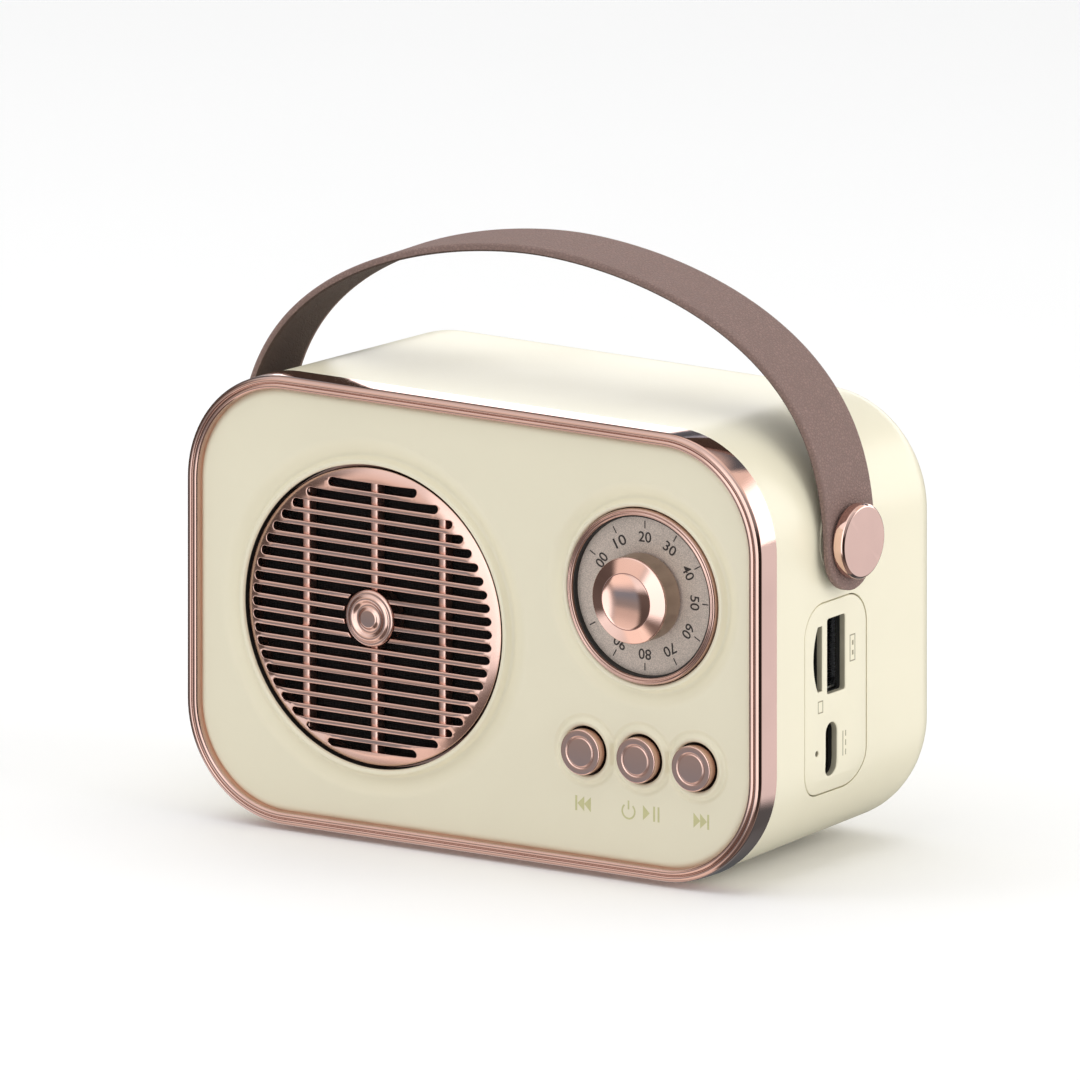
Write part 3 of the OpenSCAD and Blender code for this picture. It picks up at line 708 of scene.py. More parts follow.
class RADIO_OT_finishes(bpy.types.Operator):
    """Make every finish of the radio"""

    bl_idname = "radio.finishes"
    bl_label = "Finishes"

    def execute(self, context):
        finish = context.scene.radio_finish
        gold = tuple(finish.gold)
        cream_finish(finish)
        # Walls inside holes take the next two: a greyed copy of the plastic and a near-black
        # finish, both painted shade
        plain_finish("painted_shade_plastic", linear(176, 170, 150), linear(164, 158, 139), 200,
                     (0.35, 0.5), 2600, 0.00001)
        plain_finish("painted_black_shade", linear(20, 18, 17), linear(28, 26, 24), 300, (0.55, 0.75), 2600,
                     0.00001)
        metal_finish("rose_gold", gold, (0.04, 0.1))
        metal_finish("rose_gold_satin", shaded(gold, 0.95), (0.3, 0.42))
        metal_finish("rose_gold_soft", shaded(gold, 0.95), (0.14, 0.22))
        metal_finish("rose_gold_grille", shaded(gold, 0.86), (0.16, 0.26))
        # A darker copy of the gold for the beads of the trim and the dial: painted shade
        metal_finish("rose_gold_shaded_beads", shaded(gold, 0.76), (0.08, 0.16))
        metal_finish("knob_side", linear(186, 168, 152), (0.4, 0.55), 0.00002)
        metal_finish("plated_steel", linear(196, 198, 200), (0.16, 0.36))
        metal_finish("brass", linear(214, 178, 96), (0.2, 0.38))
        leather_finish("strap_leather", tuple(finish.leather), (0.6, 0.78), 0.02)
        leather_finish("strap_lining", tuple(finish.lining), (0.66, 0.82), 0.04)
        dial_finish(finish)
        plain_finish("dial_ink", tuple(finish.ink), shaded(tuple(finish.ink), 1.4), 900,
                     (0.45, 0.65), 6000, 0.000004)
        plain_finish("case_marks", tuple(finish.marks), shaded(tuple(finish.marks), 0.93), 700,
                     (0.4, 0.55), 5000, 0.000004)
        plain_finish("port_marks", linear(150, 142, 116), linear(162, 154, 128), 700,
                     (0.4, 0.55), 5000, 0.000004)
        plain_finish("black_rubber", linear(30, 29, 29), linear(42, 40, 39), 260,
                     (0.55, 0.8), 3200, 0.00003, wear=0.3)
        cloth_finish("screen_cloth", linear(5, 4, 5))
        banded_finish("paper_cone", linear(62, 58, 55), linear(38, 35, 34), "Y", 330, (0.75, 0.92))
        banded_finish("copper_winding", linear(196, 116, 66), linear(120, 62, 34), "Y", 900,
                      (0.25, 0.42), Metallic=0.9)
        plain_finish("ferrite", linear(58, 58, 60), linear(40, 40, 43), 200, (0.6, 0.85), 1800,
                     0.00006, wear=0.35)
        board_finish("circuit_board", linear(30, 92, 56), linear(206, 160, 92))
        plain_finish("black_plastic", linear(28, 28, 31), linear(40, 40, 43), 320, (0.3, 0.5), 2400,
                     0.00002, wear=0.25, Specular_IOR_Level=0.5)
        plain_finish("white_plastic", linear(232, 229, 220), linear(214, 210, 200), 300,
                     (0.3, 0.5), 2200, 0.00002, Specular_IOR_Level=0.45)
        banded_finish("battery_wrap", linear(54, 104, 168), linear(44, 88, 146), "X", 70,
                      (0.18, 0.3), Coat_Weight=0.5)
        plain_finish("wire_insulation", linear(150, 34, 30), linear(112, 24, 24), 420,
                     (0.3, 0.5), 2600, 0.00002, Specular_IOR_Level=0.5)
        return {"FINISHED"}


# ---- Case ----


def case_outline(inset):
    """The trim's outline, drawn in by an inset"""
    radius = bpy.context.scene.radio_case.corner
    return rounded_outline(HALF_W - inset, HALF_H - inset, radius - inset)


class RADIO_OT_front_bezel(bpy.types.Operator):
    """Build the polished trim ring around the front"""

    bl_idname = "radio.front_bezel"
    bl_label = "Trim Ring"

    # Section of the ring: how far in from the outline, and how deep behind its face
    section = [
        (0, 6), (0, 1.3), (0.02, 1.02), (0.09, 0.76), (0.2, 0.53), (0.36, 0.34), (0.55, 0.2),
        (0.76, 0.11), (0.96, 0.08), (1.12, 0.12), (1.22, 0.24), (1.28, 0.4), (1.36, 0.42),
        (1.44, 0.28), (1.54, 0.17), (1.68, 0.08), (1.86, 0.02), (2.04, 0.0), (2.2, 0.04),
        (2.34, 0.14), (2.46, 0.3), (2.56, 0.54), (2.62, 0.84), (2.65, 1.2), (2.65, 2.6),
        (1.5, 2.6), (1.5, 5.9), (0.05, 5.97),
    ]

    # Trim faces nearer the front than this depth take the darker gold: painted shade on the beads
    beads = 0.9

    def execute(self, context):
        mesh = bmesh.new()
        rings = [
            [place(x, depth, h) for x, h in case_outline(inset)] for inset, depth in self.section
        ]
        loft(mesh, rings, closed=True)
        for face in mesh.faces:
            if all(corner.co.y < FACE_Y + self.beads * MM for corner in face.verts):
                face.material_index = 1
        as_piece(mesh, "trim_ring", ["rose_gold", "rose_gold_shaded_beads"], "case",
                 ["front_bezel"], sharp=50)
        return {"FINISHED"}


def lip_lift(distance, reach, height, moat):
    """Height above the panel of a raised lip and the shallow dish around it"""
    crest = 0.5
    foot = crest + 0.95
    if distance <= crest:
        return height * (1 - 0.25 * (1 - distance / crest) ** 2)
    if distance <= foot:
        return height - (height + moat) * eased((distance - crest) / (foot - crest))
    return -moat * (1 - eased((distance - foot) / (reach - foot)))


class RADIO_OT_front_panel(bpy.types.Operator):
    """Build the moulded front panel with its lips and shallow dishes"""

    bl_idname = "radio.front_panel"
    bl_label = "Front Panel"

    thick = 2.4
    rounding = 0.3
    steps = (0.12, 0.3, 0.5, 0.65, 0.82, 1.0, 1.18, 1.45)
    rim = [(0.07, 0.01), (0.15, 0.05), (0.22, 0.12), (0.27, 0.22), (0.3, 0.36), (0.3, thick)]
    edge_rim = [(0.1, 0.1), (0.15, 0.3), (0.15, thick)]

    def openings(self, case):
        """Each opening: middle, radius, reach of the dish around it, and its depth"""
        wide = [(SPEAKER, GRILLE_R + 0.1, 5.2, case.moat), (DIAL, DIAL_R + 0.1, 4.6, case.moat)]
        keys = [(KEY_AT[key], BUTTON_R + 0.35, 2.2, case.moat / 4) for key in KEYS]
        return wide + keys

    def execute(self, context):
        case = context.scene.radio_case
        openings = self.openings(case)
        near = limits("front_panel")[0].y + case.lip_height
        edge = limits("front_bezel")[1].x - limits("front_panel")[1].x
        roll_from = 2.5

        def depth(x, h):
            inset = inset_in_case(x, h)
            lean = min(max(1 - (inset - roll_from) / case.panel_roll, 0), 1)
            result = near + case.panel_roll * 0.8 * (1 - math.sqrt(max(1 - lean * lean, 0)))
            for centre, radius, reach, moat in openings:
                distance = math.hypot(x - centre[0], h - centre[1]) - radius - self.rounding
                if distance < reach:
                    result -= lip_lift(distance, reach, case.lip_height, moat)
            return result

        holes, guides = [], []
        foot = self.steps[-1]
        for centre, radius, reach, _ in openings:
            count = 160 if radius > 20 else 112 if radius > 10 else 64
            start = radius + self.rounding
            holes.append(circle(centre, start, count))
            far = [foot + (reach - foot) * share for share in (0.15, 0.3, 0.5, 0.7, 0.85, 1)]
            wide = [*self.steps, *far, reach + 0.15]
            guides += [circle(centre, start + t, count) for t in wide]
        rolls = [edge + 0.4] + [roll_from + case.panel_roll * k / 8 for k in range(1, 10)]
        guides += [case_outline(inset) for inset in rolls]
        mesh = bmesh.new()
        # The deepest step of each opening's wall is near-black: painted shade inside the openings
        relief(
            mesh, case_outline(edge + 0.15), holes, guides,
            lambda x, h, back: place(x, depth(x, h) + back if back < 1 else near + back, h),
            self.thick, self.edge_rim, self.rim, shaded_steps=(1,),
        )
        as_piece(mesh, "front_panel_shell", ["cream_plastic", "painted_black_shade"], "case",
                 ["front_panel"], sharp=60, recalculate=False)
        return {"FINISHED"}


def shell_inset_at(depth, inset):
    """How far the shell's side lies in from the trim's outline at a depth"""
    draft = bpy.context.scene.radio_case.draft
    return inset + math.tan(draft) * max(0, depth - TRIM_D)


def shell_ring(depth, inset):
    """The shell's outline at a depth"""
    case = bpy.context.scene.radio_case
    taper = shell_inset_at(depth, inset)
    outline = rounded_outline(HALF_W - taper, HALF_H - taper, case.corner - inset)
    return [place(x, depth, h) for x, h in outline]


def wall_x(depth, height):
    """How far out the shell's right side stands at a depth and height"""
    case = bpy.context.scene.radio_case
    taper = shell_inset_at(depth, case.shell_inset)
    radius = case.corner - case.shell_inset
    over = max(0, abs(height) - (HALF_H - taper - radius))
    return HALF_W - taper - radius + math.sqrt(max(radius * radius - over * over, 0))


class RADIO_OT_rear_shell(bpy.types.Operator):
    """Build the moulded rear shell, with its screw wells and the window for the ports"""

    bl_idname = "radio.rear_shell"
    bl_label = "Rear Shell"

    rows = (6.6, 9, 16, 26, 36, 46, 54)
    turns = 12
    window = (55, HALF_W + 4)

    def execute(self, context):
        case = context.scene.radio_case
        inset, mouth = case.shell_inset, TRIM_D + 0.02
        radius = case.back_edge - inset
        start = CASE_D - radius
        path = [(mouth, inset + 0.5), (mouth + 0.04, inset + 0.24), (mouth + 0.14, inset + 0.07)]
        path += [(mouth + 0.32, inset)] + [(d, inset) for d in self.rows]
        for i in range(self.turns + 1):
            a = math.pi / 2 * i / self.turns
            path.append((start + radius * math.sin(a), inset + radius * (1 - math.cos(a))))
        path.append((CASE_D, inset + radius + 1.5))
        within = inset + case.wall
        inner = [(CASE_D - case.wall, within + radius), (start, within), (mouth, within)]
        mesh = bmesh.new()
        made = [ring_of(mesh, shell_ring(d, i)) for d, i in path]
        hollow = [ring_of(mesh, shell_ring(d, i)) for d, i in inner]
        for rings in (made, hollow):
            for a, b in zip(rings, rings[1:]):
                bridge(mesh, a, b)
        mesh.faces.new(made[-1])
        mesh.faces.new(hollow[0])
        bridge(mesh, hollow[-1], made[0])
        shell = as_piece(mesh, "rear_case", ["cream_plastic"], "case",
                         ["rear_shell"], sharp=35)
        cut_away(shell, self.cutters())
        return {"FINISHED"}

    def cutters(self):
        """The screw wells, and the hole that the port plate fills"""
        mesh = bmesh.new()
        for at in SCREW_AT:
            well = [(0, CASE_D + 2), (SCREW_WELL_R, CASE_D + 2), (SCREW_WELL_R, SCREW_WELL_END)]
            lathe(mesh, well + [(0, SCREW_WELL_END)], at, 48)
        outline = port_outline()
        loft(mesh, [[place(x, d, h) for d, h in outline] for x in self.window])
        return mesh


class RADIO_OT_seats(bpy.types.Operator):
    """Build the raised seats under the strap's studs"""

    bl_idname = "radio.seats"
    bl_label = "Strap Seats"

    def execute(self, context):
        stud = middle("right_stud")
        face = limits("strap_washers")[1].x - 0.65
        foot = face - 2.2
        profile = [(0, face), (6.8, face, 0.25), (7.05, face - 0.5), (7.05, foot), (0, foot)]
        mesh = bmesh.new()
        for side in (1, -1):
            lathe(mesh, softened(profile), (stud.y, stud.z), 72, "side", side=side)
        as_piece(mesh, "strap_seats", ["cream_plastic"], "case")
        return {"FINISHED"}


# ---- Ports ----

PORT_CORNER = 6.5


def port_outline(margin=0, run_in=0):
    """The port plate's outline, drawn in by a margin: points of (depth, height)"""
    low, high = limits("port_plate")
    centre = (low + high) / 2
    half_depth, half_height = (high.y - low.y) / 2 - margin, (high.z - low.z) / 2 - margin
    outline = rounded_outline(half_depth, half_height, PORT_CORNER - margin, 16, run_in)
    return moved(outline, (centre.y, centre.z))


def on_wall(proud=0.0):
    """Stands points of (depth, height) on the shell's right side"""
    return lambda d, h, back: place(wall_x(d, h) + proud - back, d, h)


class RADIO_OT_port_plate(bpy.types.Operator):
    """Build the plate around the ports, with rounded cut-outs"""

    bl_idname = "radio.port_plate"
    bl_label = "Port Plate"

    groove = 0.27
    light_depth = 20.6
    bend_from = -21.3  # the case's side starts to curve under here
    thick = 2.2
    rim = [(0.04, 0.01), (0.09, 0.04), (0.14, 0.1), (0.17, 0.18), (0.17, thick)]
    hole_rim = [(0.06, 0.01), (0.12, 0.05), (0.17, 0.11), (0.2, 0.2), (0.2, 1.3), (0.2, thick)]

    def scoop(self, centre, height, width, bulge, arc=10):
        """The card slot: straight at the back, bulged at the front for a fingertip"""
        half = height / 2
        radius = (half * half + bulge * bulge) / (2 * bulge)
        front, rear = centre[0] - width / 2, centre[0] + width / 2
        spread = math.asin(half / radius)
        points = [(rear, centre[1] - half), (rear, centre[1] + half)]
        for i in range(arc + 1):
            a = spread * (1 - 2 * i / arc)
            points.append((front - bulge + radius - radius * math.cos(a),
                           centre[1] + radius * math.sin(a)))
        return points

    def execute(self, context):
        low, high = limits("port_plate")
        outer = port_outline(self.groove + self.rim[-1][0], 0.8)
        usb, charge = middle("usb_shell"), middle("charge_shell")
        holes = [
            moved(rounded_outline(3.35, 7.45, 0.7, 5, 0.4), (usb.y, usb.z)),
            self.scoop((usb.y - 5.6, usb.z), 12.9, 1.9, 1.6),
            [(charge.y - v, charge.z + u) for u, v in slot_outline((0, 0), 5.4, 2.2, 12)],
            circle((self.light_depth, middle("charge_light").z), 0.75, 20),
        ]
        rows = [self.bend_from - 0.65 * k for k in range(14)]
        guides = [[(low.y - 1, h), (high.y + 1, h), (high.y + 1, h + 0.02), (low.y - 1, h + 0.02)]
                  for h in rows]
        mesh = bmesh.new()
        # The two deepest steps of each port's wall are grey and near-black: painted shade inside
        # the ports
        relief(mesh, outer, holes, guides, on_wall(), self.thick, self.rim, self.hole_rim,
               shaded_steps=(2, 1))
        as_piece(mesh, "port_cover", ["cream_plastic", "painted_shade_plastic", "painted_black_shade"], "case",
                 ["port_plate"], sharp=60, recalculate=False)
        return {"FINISHED"}


def bar_outline(centre, width, height):
    """A plain rectangle"""
    x, y, w, h = centre[0], centre[1], width / 2, height / 2
    return [(x - w, y - h), (x + w, y - h), (x + w, y + h), (x - w, y + h)]


def box_outlines(centre, half_w, half_h, side, end):
    """A hollow box of four bars, with its half sizes between the bars' middles"""
    x, y = centre
    upright = [bar_outline((x + u, y), side, 2 * half_h + end) for u in (-half_w, half_w)]
    level = [bar_outline((x, y + v), 2 * half_w - side, end) for v in (-half_h, half_h)]
    return upright + level


def band_outline(centre, inner, outer, start, end, steps=24):
    """Part of a flat ring between two angles in degrees"""
    turn = [math.radians(start + (end - start) * i / steps) for i in range(steps + 1)]
    sides = [(outer, a) for a in turn] + [(inner, a) for a in reversed(turn)]
    return [(centre[0] + r * math.cos(a), centre[1] + r * math.sin(a)) for r, a in sides]


def stamped(mesh, outlines, stand, thick=0.03):
    """Thin printed shapes on a surface"""
    for outline in outlines:
        relief(mesh, outline, [], [], stand, thick, [(0, thick)])


class RADIO_OT_marks(bpy.types.Operator):
    """Print the plain symbols under the buttons and beside the ports"""

    bl_idname = "radio.marks"
    bl_label = "Printed Marks"

    def execute(self, context):
        case = context.scene.radio_case
        face = limits("front_panel")[0].y + case.lip_height
        row, size = -30.6, 1.45
        left, mid, right = KEY_AT["previous"][0] - 0.2, KEY_AT["play"][0], KEY_AT["next"][0] + 0.7

        def triangle(tip, direction):
            back = tip - direction * size * 1.05
            points = [(tip, row), (back, row + size), (back, row - size)]
            return points if direction > 0 else points[::-1]

        shapes = []
        for centre, direction in ((left, -1), (right, 1)):
            shapes += [triangle(centre + direction * 0.15, direction),
                       triangle(centre + direction * 1.65, direction),
                       bar_outline((centre + direction * 1.95, row), 0.45, 2 * size)]
        power = mid - 2.9
        shapes.append(band_outline((power, row - 0.15), 1.25, 1.6, 130, 410, 32))
        shapes.append(bar_outline((power, row + 1.05), 0.36, 1.7))
        shapes.append(triangle(mid + 1.9, 1))
        shapes += [bar_outline((mid + x, row), 0.42, 2 * size) for x in (2.9, 3.9)]
        mesh = bmesh.new()
        stamped(mesh, shapes, lambda x, h, back: place(x, face - 0.02 + back, h))
        as_piece(mesh, "button_marks", ["case_marks"], "case", recalculate=False)
        self.port_marks()
        return {"FINISHED"}

    def port_marks(self):
        """A connector, a card and the sign for direct current, beside their ports"""
        usb, charge = middle("usb_shell"), middle("charge_shell")
        mesh = bmesh.new()
        plug = (usb.y + 5.6, usb.z + 0.2)
        card = (usb.y - 5.6, usb.z - 9.2)
        supply = (charge.y + 4.4, charge.z + 0.4)
        shapes = box_outlines(plug, 0.85, 2.48, 0.22, 0.24)
        shapes += [bar_outline((plug[0] + 0.1, plug[1] + y), 0.5, 0.9) for y in (-0.95, 0.95)]
        shapes += box_outlines(card, 0.8, 1.09, 0.2, 0.22)
        shapes.append(bar_outline((supply[0] - 0.5, supply[1]), 0.26, 4.8))
        dashes = [(supply[0] + 0.45, supply[1] + y) for y in (-1.8, 0, 1.8)]
        shapes += [bar_outline(at, 0.26, 1.1) for at in dashes]
        stamped(mesh, shapes, on_wall(0.02))
        as_piece(mesh, "port_symbols", ["port_marks"], "case", recalculate=False)


class RADIO_OT_feet(bpy.types.Operator):
    """Build the four rubber feet"""

    bl_idname = "radio.feet"
    bl_label = "Rubber Feet"

    def execute(self, context):
        low, high = limits("rubber_feet")
        radius, top = 4.5, low.z + 1.6
        profile = softened([(0, low.z), (radius - 1.2, low.z), (radius, low.z, 0.35),
                            (radius, top), (0, top)])
        mesh = bmesh.new()
        for x in (low.x + radius, high.x - radius):
            for depth in (low.y + radius, high.y - radius):
                lathe(mesh, profile, (x, depth), 48, "height")
        as_piece(mesh, "feet", ["black_rubber"], "case", ["rubber_feet"])
        return {"FINISHED"}


# ---- Speaker grille ----


def grille_face(radius):
    """Depth of the grille's face at a radius: slightly domed, then a slope down to its edge"""
    flat, bulge = 25.4, 0.001
    domed = -0.5 + bulge * radius * radius
    if radius <= flat:
        return domed
    t = (radius - flat) / (GRILLE_R - flat)
    return domed + 1.55 * (0.2 * t + 0.8 * t * t)


class RADIO_OT_grille(bpy.types.Operator):
    """Build the slotted speaker grille, its ribs and its rim"""

    bl_idname = "radio.grille"
    bl_label = "Speaker Grille"

    boss_gap = 5.75
    gap = 0.42
    rib_at = (-15.4, 0, 15.4)
    seat = (27.6, 28.4)  # inner and outer radius of the step that the ribs end in
    thick = 1.5
    fold = 0.17  # the holes are this much wider at the face than behind it
    rim = [(0.05, 0.02), (0.11, 0.07), (0.15, 0.15), (fold, 0.26), (fold, thick)]
    edge = [(0.02, 0.06), (0.03, 0.2), (0.03, thick)]

    def execute(self, context):
        grille = context.scene.radio_grille
        last = (grille.slots - 1) // 2
        half_height = grille.slot_height / 2 + self.fold
        holes = [circle((0, 0), self.boss_gap + self.fold, 64)]
        for i in range(-last, last + 1):
            height = i * grille.pitch
            reach = math.sqrt(grille.field**2 - height**2) + self.fold
            holes.append(slot_outline((0, height), reach, half_height, 12))
        rings = (24.6, 25.4, 25.9, 26.4, 26.9, 27.3, 27.7, 28.0, 28.3, 28.5)
        guides = [circle((0, 0), r, 180) for r in rings]
        mesh = bmesh.new()

        def stand(x, h, back):
            return place(SPEAKER[0] + x, grille_face(math.hypot(x, h)) + back, SPEAKER[1] + h)

        outer = circle((0, 0), GRILLE_R - self.gap, 180)
        relief(mesh, outer, holes, guides, stand, self.thick, self.edge, self.rim)
        as_piece(mesh, "grille_face", ["rose_gold_grille"], "case", ["speaker_grille"],
                 sharp=55, recalculate=False)
        self.ribs(grille)
        return {"FINISHED"}

    def ribs(self, grille):
        """Three upright ribs and the ring that they and the bars stand on"""
        mesh = bmesh.new()
        half = grille.rib / 2
        section = [(-half, 3.6), (-half, 1.5), (-half + 0.12, 1.3), (-half + 0.35, 1.18),
                   (half - 0.35, 1.18), (half - 0.12, 1.3), (half, 1.5), (half, 3.6)]
        inner, outer = self.seat
        for x in self.rib_at:
            reach = math.sqrt((inner + 0.3) ** 2 - x * x)
            rings = [
                [place(SPEAKER[0] + x + u, d, SPEAKER[1] + h) for u, d in section]
                for h in (-reach, reach)
            ]
            loft(mesh, rings)
        ring = [(inner, 2.4), (outer, 2.4), (outer, 3.4), (GRILLE_R, 3.4), (GRILLE_R, 4.6),
                (inner, 4.6)]
        lathe(mesh, ring, SPEAKER, 128, closed=True)
        lathe(mesh, [(0, 1.2), (5.3, 1.2), (5.3, 3.6), (0, 3.6)], SPEAKER, 64)
        as_piece(mesh, "grille_ribs", ["rose_gold_satin"], "case")


class RADIO_OT_boss(bpy.types.Operator):
    """Build the ringed boss in the middle of the grille"""

    bl_idname = "radio.boss"
    bl_label = "Grille Boss"

    def execute(self, context):
        profile = softened([
            (0, -0.9), (1.75, -0.9, 0.25), (2.05, -0.55, 0.2), (2.6, -0.38, 0.3),
            (3.1, -0.55, 0.25), (3.45, -0.9, 0.3), (3.95, -0.98, 0.3), (4.35, -0.8, 0.25),
            (4.6, -0.5, 0.15), (4.85, -0.55, 0.2), (5.2, -0.5, 0.25), (5.5, -0.1, 0.3),
            (5.5, 1.9), (0, 1.9),
        ], 5)
        lathed_piece("boss", profile, SPEAKER, "rose_gold_grille", "case", "rose_gold",
                     ["grille_boss"], sharp=60)
        return {"FINISHED"}


# ---- Dial, knob and buttons ----


class RADIO_OT_dial(bpy.types.Operator):
    """Build the dial: beaded ring in darker gold for painted shade, a black ring for the painted
    shadow in its gap, face, lines and numbers
    """

    bl_idname = "radio.dial"
    bl_label = "Dial"

    face_depth = 1.7
    face_r = 15.25
    lines = 11
    ink = 0.015  # half of the numbers' thickness

    def execute(self, context):
        dial = context.scene.radio_dial
        back = self.face_depth + 0.1
        ring = softened([
            (15.5, self.face_depth + 0.3), (15.5, 0.6), (15.6, 0.36, 0.15), (15.72, 0.16, 0.2),
            (15.95, 0.14, 0.2), (16.12, 0.34, 0.16), (16.28, 0.34, 0.12), (16.45, 0.12, 0.2),
            (16.72, 0.2, 0.22), (16.92, 0.62, 0.3), (DIAL_R, 1.1), (DIAL_R, 4.2), (15.5, 4.2),
        ], 5)
        lathed_piece("dial_bead", ring, DIAL, "rose_gold_shaded_beads", "case", "rose_gold",
                     ["dial_ring"], sharp=60, steps=144, closed=True)
        # A black ring in the gap between the bead and the face: a painted shadow, not a real part
        shadow_profile = [(self.face_r, back), (15.3, 0.62), (15.48, 0.58), (15.48, back)]
        lathed_piece("dial_shadow_ring", shadow_profile, DIAL, "painted_black_shade", "case", "black_plastic",
                     sharp=40, steps=128, closed=True)
        face = [(3.6, self.face_depth), (self.face_r, self.face_depth), (self.face_r, 2.9),
                (3.6, 2.9)]
        lathed_piece("dial_disc", face, DIAL, "dial_face", "case", "dial_face",
                     ["dial_plate"], sharp=40, steps=128, closed=True)
        self.numbers(dial)
        return {"FINISHED"}

    def numbers(self, dial):
        """Numbers every 30 degrees clockwise from the upper left, each with its line"""
        mesh = bmesh.new()
        depth = self.face_depth - 0.02
        line = [(-0.12, 12.95), (0.12, 12.95), (0.12, 14.4), (-0.12, 14.4)]
        for step in range(self.lines):
            turn = math.radians(-60 + 30 * step)
            across = Vector((math.cos(turn), -math.sin(turn)))
            out = Vector((math.sin(turn), math.cos(turn)))
            stamped(mesh, [[tuple(Vector(DIAL) + across * u + out * v) for u, v in line]],
                    lambda x, h, back: place(x, depth + back, h))
            if step == self.lines - 1:  # the last line has no number
                continue
            points, faces = self.digits(str(step) + "0", dial)
            made = []
            for u, v, lift in points:
                at = Vector(DIAL) + across * u + out * (v + dial.number_radius)
                made.append(mesh.verts.new(place(at.x, depth + self.ink - lift, at.y)))
            for face in faces:
                mesh.faces.new([made[i] for i in face])
        as_piece(mesh, "dial_numbers", ["dial_ink"], "case", sharp=30,
                 recalculate=False)

    def digits(self, text, dial):
        """The mesh of a number, centred and scaled to its real size in millimetres"""
        curve = bpy.data.curves.new("number", "FONT")
        curve.body = text
        curve.extrude = 0.01
        curve.offset = 0.012
        curve.resolution_u = 6
        holder = bpy.data.objects.new("number", curve)
        bpy.context.scene.collection.objects.link(holder)
        bpy.context.view_layer.update()
        evaluated = holder.evaluated_get(bpy.context.evaluated_depsgraph_get())
        data = bpy.data.meshes.new_from_object(evaluated)
        points = [v.co.copy() for v in data.vertices]
        faces = [tuple(p.vertices) for p in data.polygons]
        bpy.data.objects.remove(holder)
        bpy.data.curves.remove(curve)
        bpy.data.meshes.remove(data)
        low = Vector([min(p[k] for p in points) for k in range(3)])
        high = Vector([max(p[k] for p in points) for k in range(3)])
        size = high - low
        scaled = [
            (((p.x - low.x) / size.x - 0.5) * dial.number_width,
             ((p.y - low.y) / size.y - 0.5) * dial.digit_height,
             self.ink if p.z > 0 else -self.ink)
            for p in points
        ]
        return scaled, faces


class RADIO_OT_knob(bpy.types.Operator):
    """Build the volume knob and its dished disc"""

    bl_idname = "radio.knob"
    bl_label = "Volume Knob"

    sphere = 17  # the dish is part of a sphere of this radius

    def hollow(self, radius):
        """How far the sphere falls back from its deepest point at a radius"""
        return self.sphere - math.sqrt(self.sphere * self.sphere - radius * radius)

    def execute(self, context):
        dial = context.scene.radio_dial
        front, skirt = (corner.y for corner in limits("volume_knob"))
        radius, dish = dial.knob_radius, dial.dish_radius
        body = softened([
            (dish + 0.01, front + 1.5), (dish + 0.01, front + 0.05), (dish + 0.03, front + 0.01),
            (dish + 0.12, front, 0.05), (radius - 0.1, front + 0.98, 0.2),
            (radius, front + 1.25, 0.15), (radius, skirt, 0.15), (radius - 1.2, skirt),
            (radius - 1.2, front + 1.5),
        ], 5)
        mesh = bmesh.new()
        lathe(mesh, body, DIAL, 144, closed=True)
        centre = place(DIAL[0], 0, DIAL[1])
        for face in mesh.faces:
            spots = [corner.co - centre for corner in face.verts]
            if all(math.hypot(spot.x, spot.z) > (radius - 0.001) * MM for spot in spots):
                face.material_index = 1
        as_piece(mesh, "knob_body", ["rose_gold", "knob_side"], "knob",
                 ["volume_knob"], sharp=50)
        edge = front + 0.03
        sag = self.hollow(dish)
        radii = [(dish - 0.1) * i / 14 for i in range(15)]
        profile = [(r, edge + sag - self.hollow(r)) for r in radii]
        profile += [(dish - 0.04, edge - 0.01), (dish - 0.01, edge + 0.02), (dish, edge + 0.1),
                    (dish, edge + 1.3), (0, edge + 1.3)]
        lathed_piece("knob_centre", profile, DIAL, "rose_gold", "knob", "rose_gold",
                     ["knob_dish"], steps=128)
        return {"FINISHED"}


class RADIO_OT_buttons(bpy.types.Operator):
    """Build the three round buttons"""

    bl_idname = "radio.buttons"
    bl_label = "Buttons"

    flange_r, stem_r = 5.5, 1.5
    flange = (3.45, 4.45)  # depth of the flange's two faces

    def execute(self, context):
        near, far = self.flange
        for key in KEYS:
            front, back = (corner.y for corner in limits(key + "_button"))
            profile = softened([
                (0, front + 0.02), (2.72, front + 0.02, 0.1), (2.82, front + 0.16, 0.06),
                (3.02, front + 0.16, 0.06), (3.14, front + 0.02, 0.1),
                (BUTTON_R - 0.14, front + 0.02, 0.12), (BUTTON_R, front + 0.2, 0.14),
                (BUTTON_R, near, 0.1), (self.flange_r, near, 0.1), (self.flange_r, far, 0.1),
                (self.stem_r, far, 0.1), (self.stem_r, back), (0, back),
            ], 5)
            lathed_piece(key + "_cap", profile, KEY_AT[key], "rose_gold_soft", key + "_key",
                         "rose_gold", [key + "_button"])
        return {"FINISHED"}


# ---- Strap and studs ----


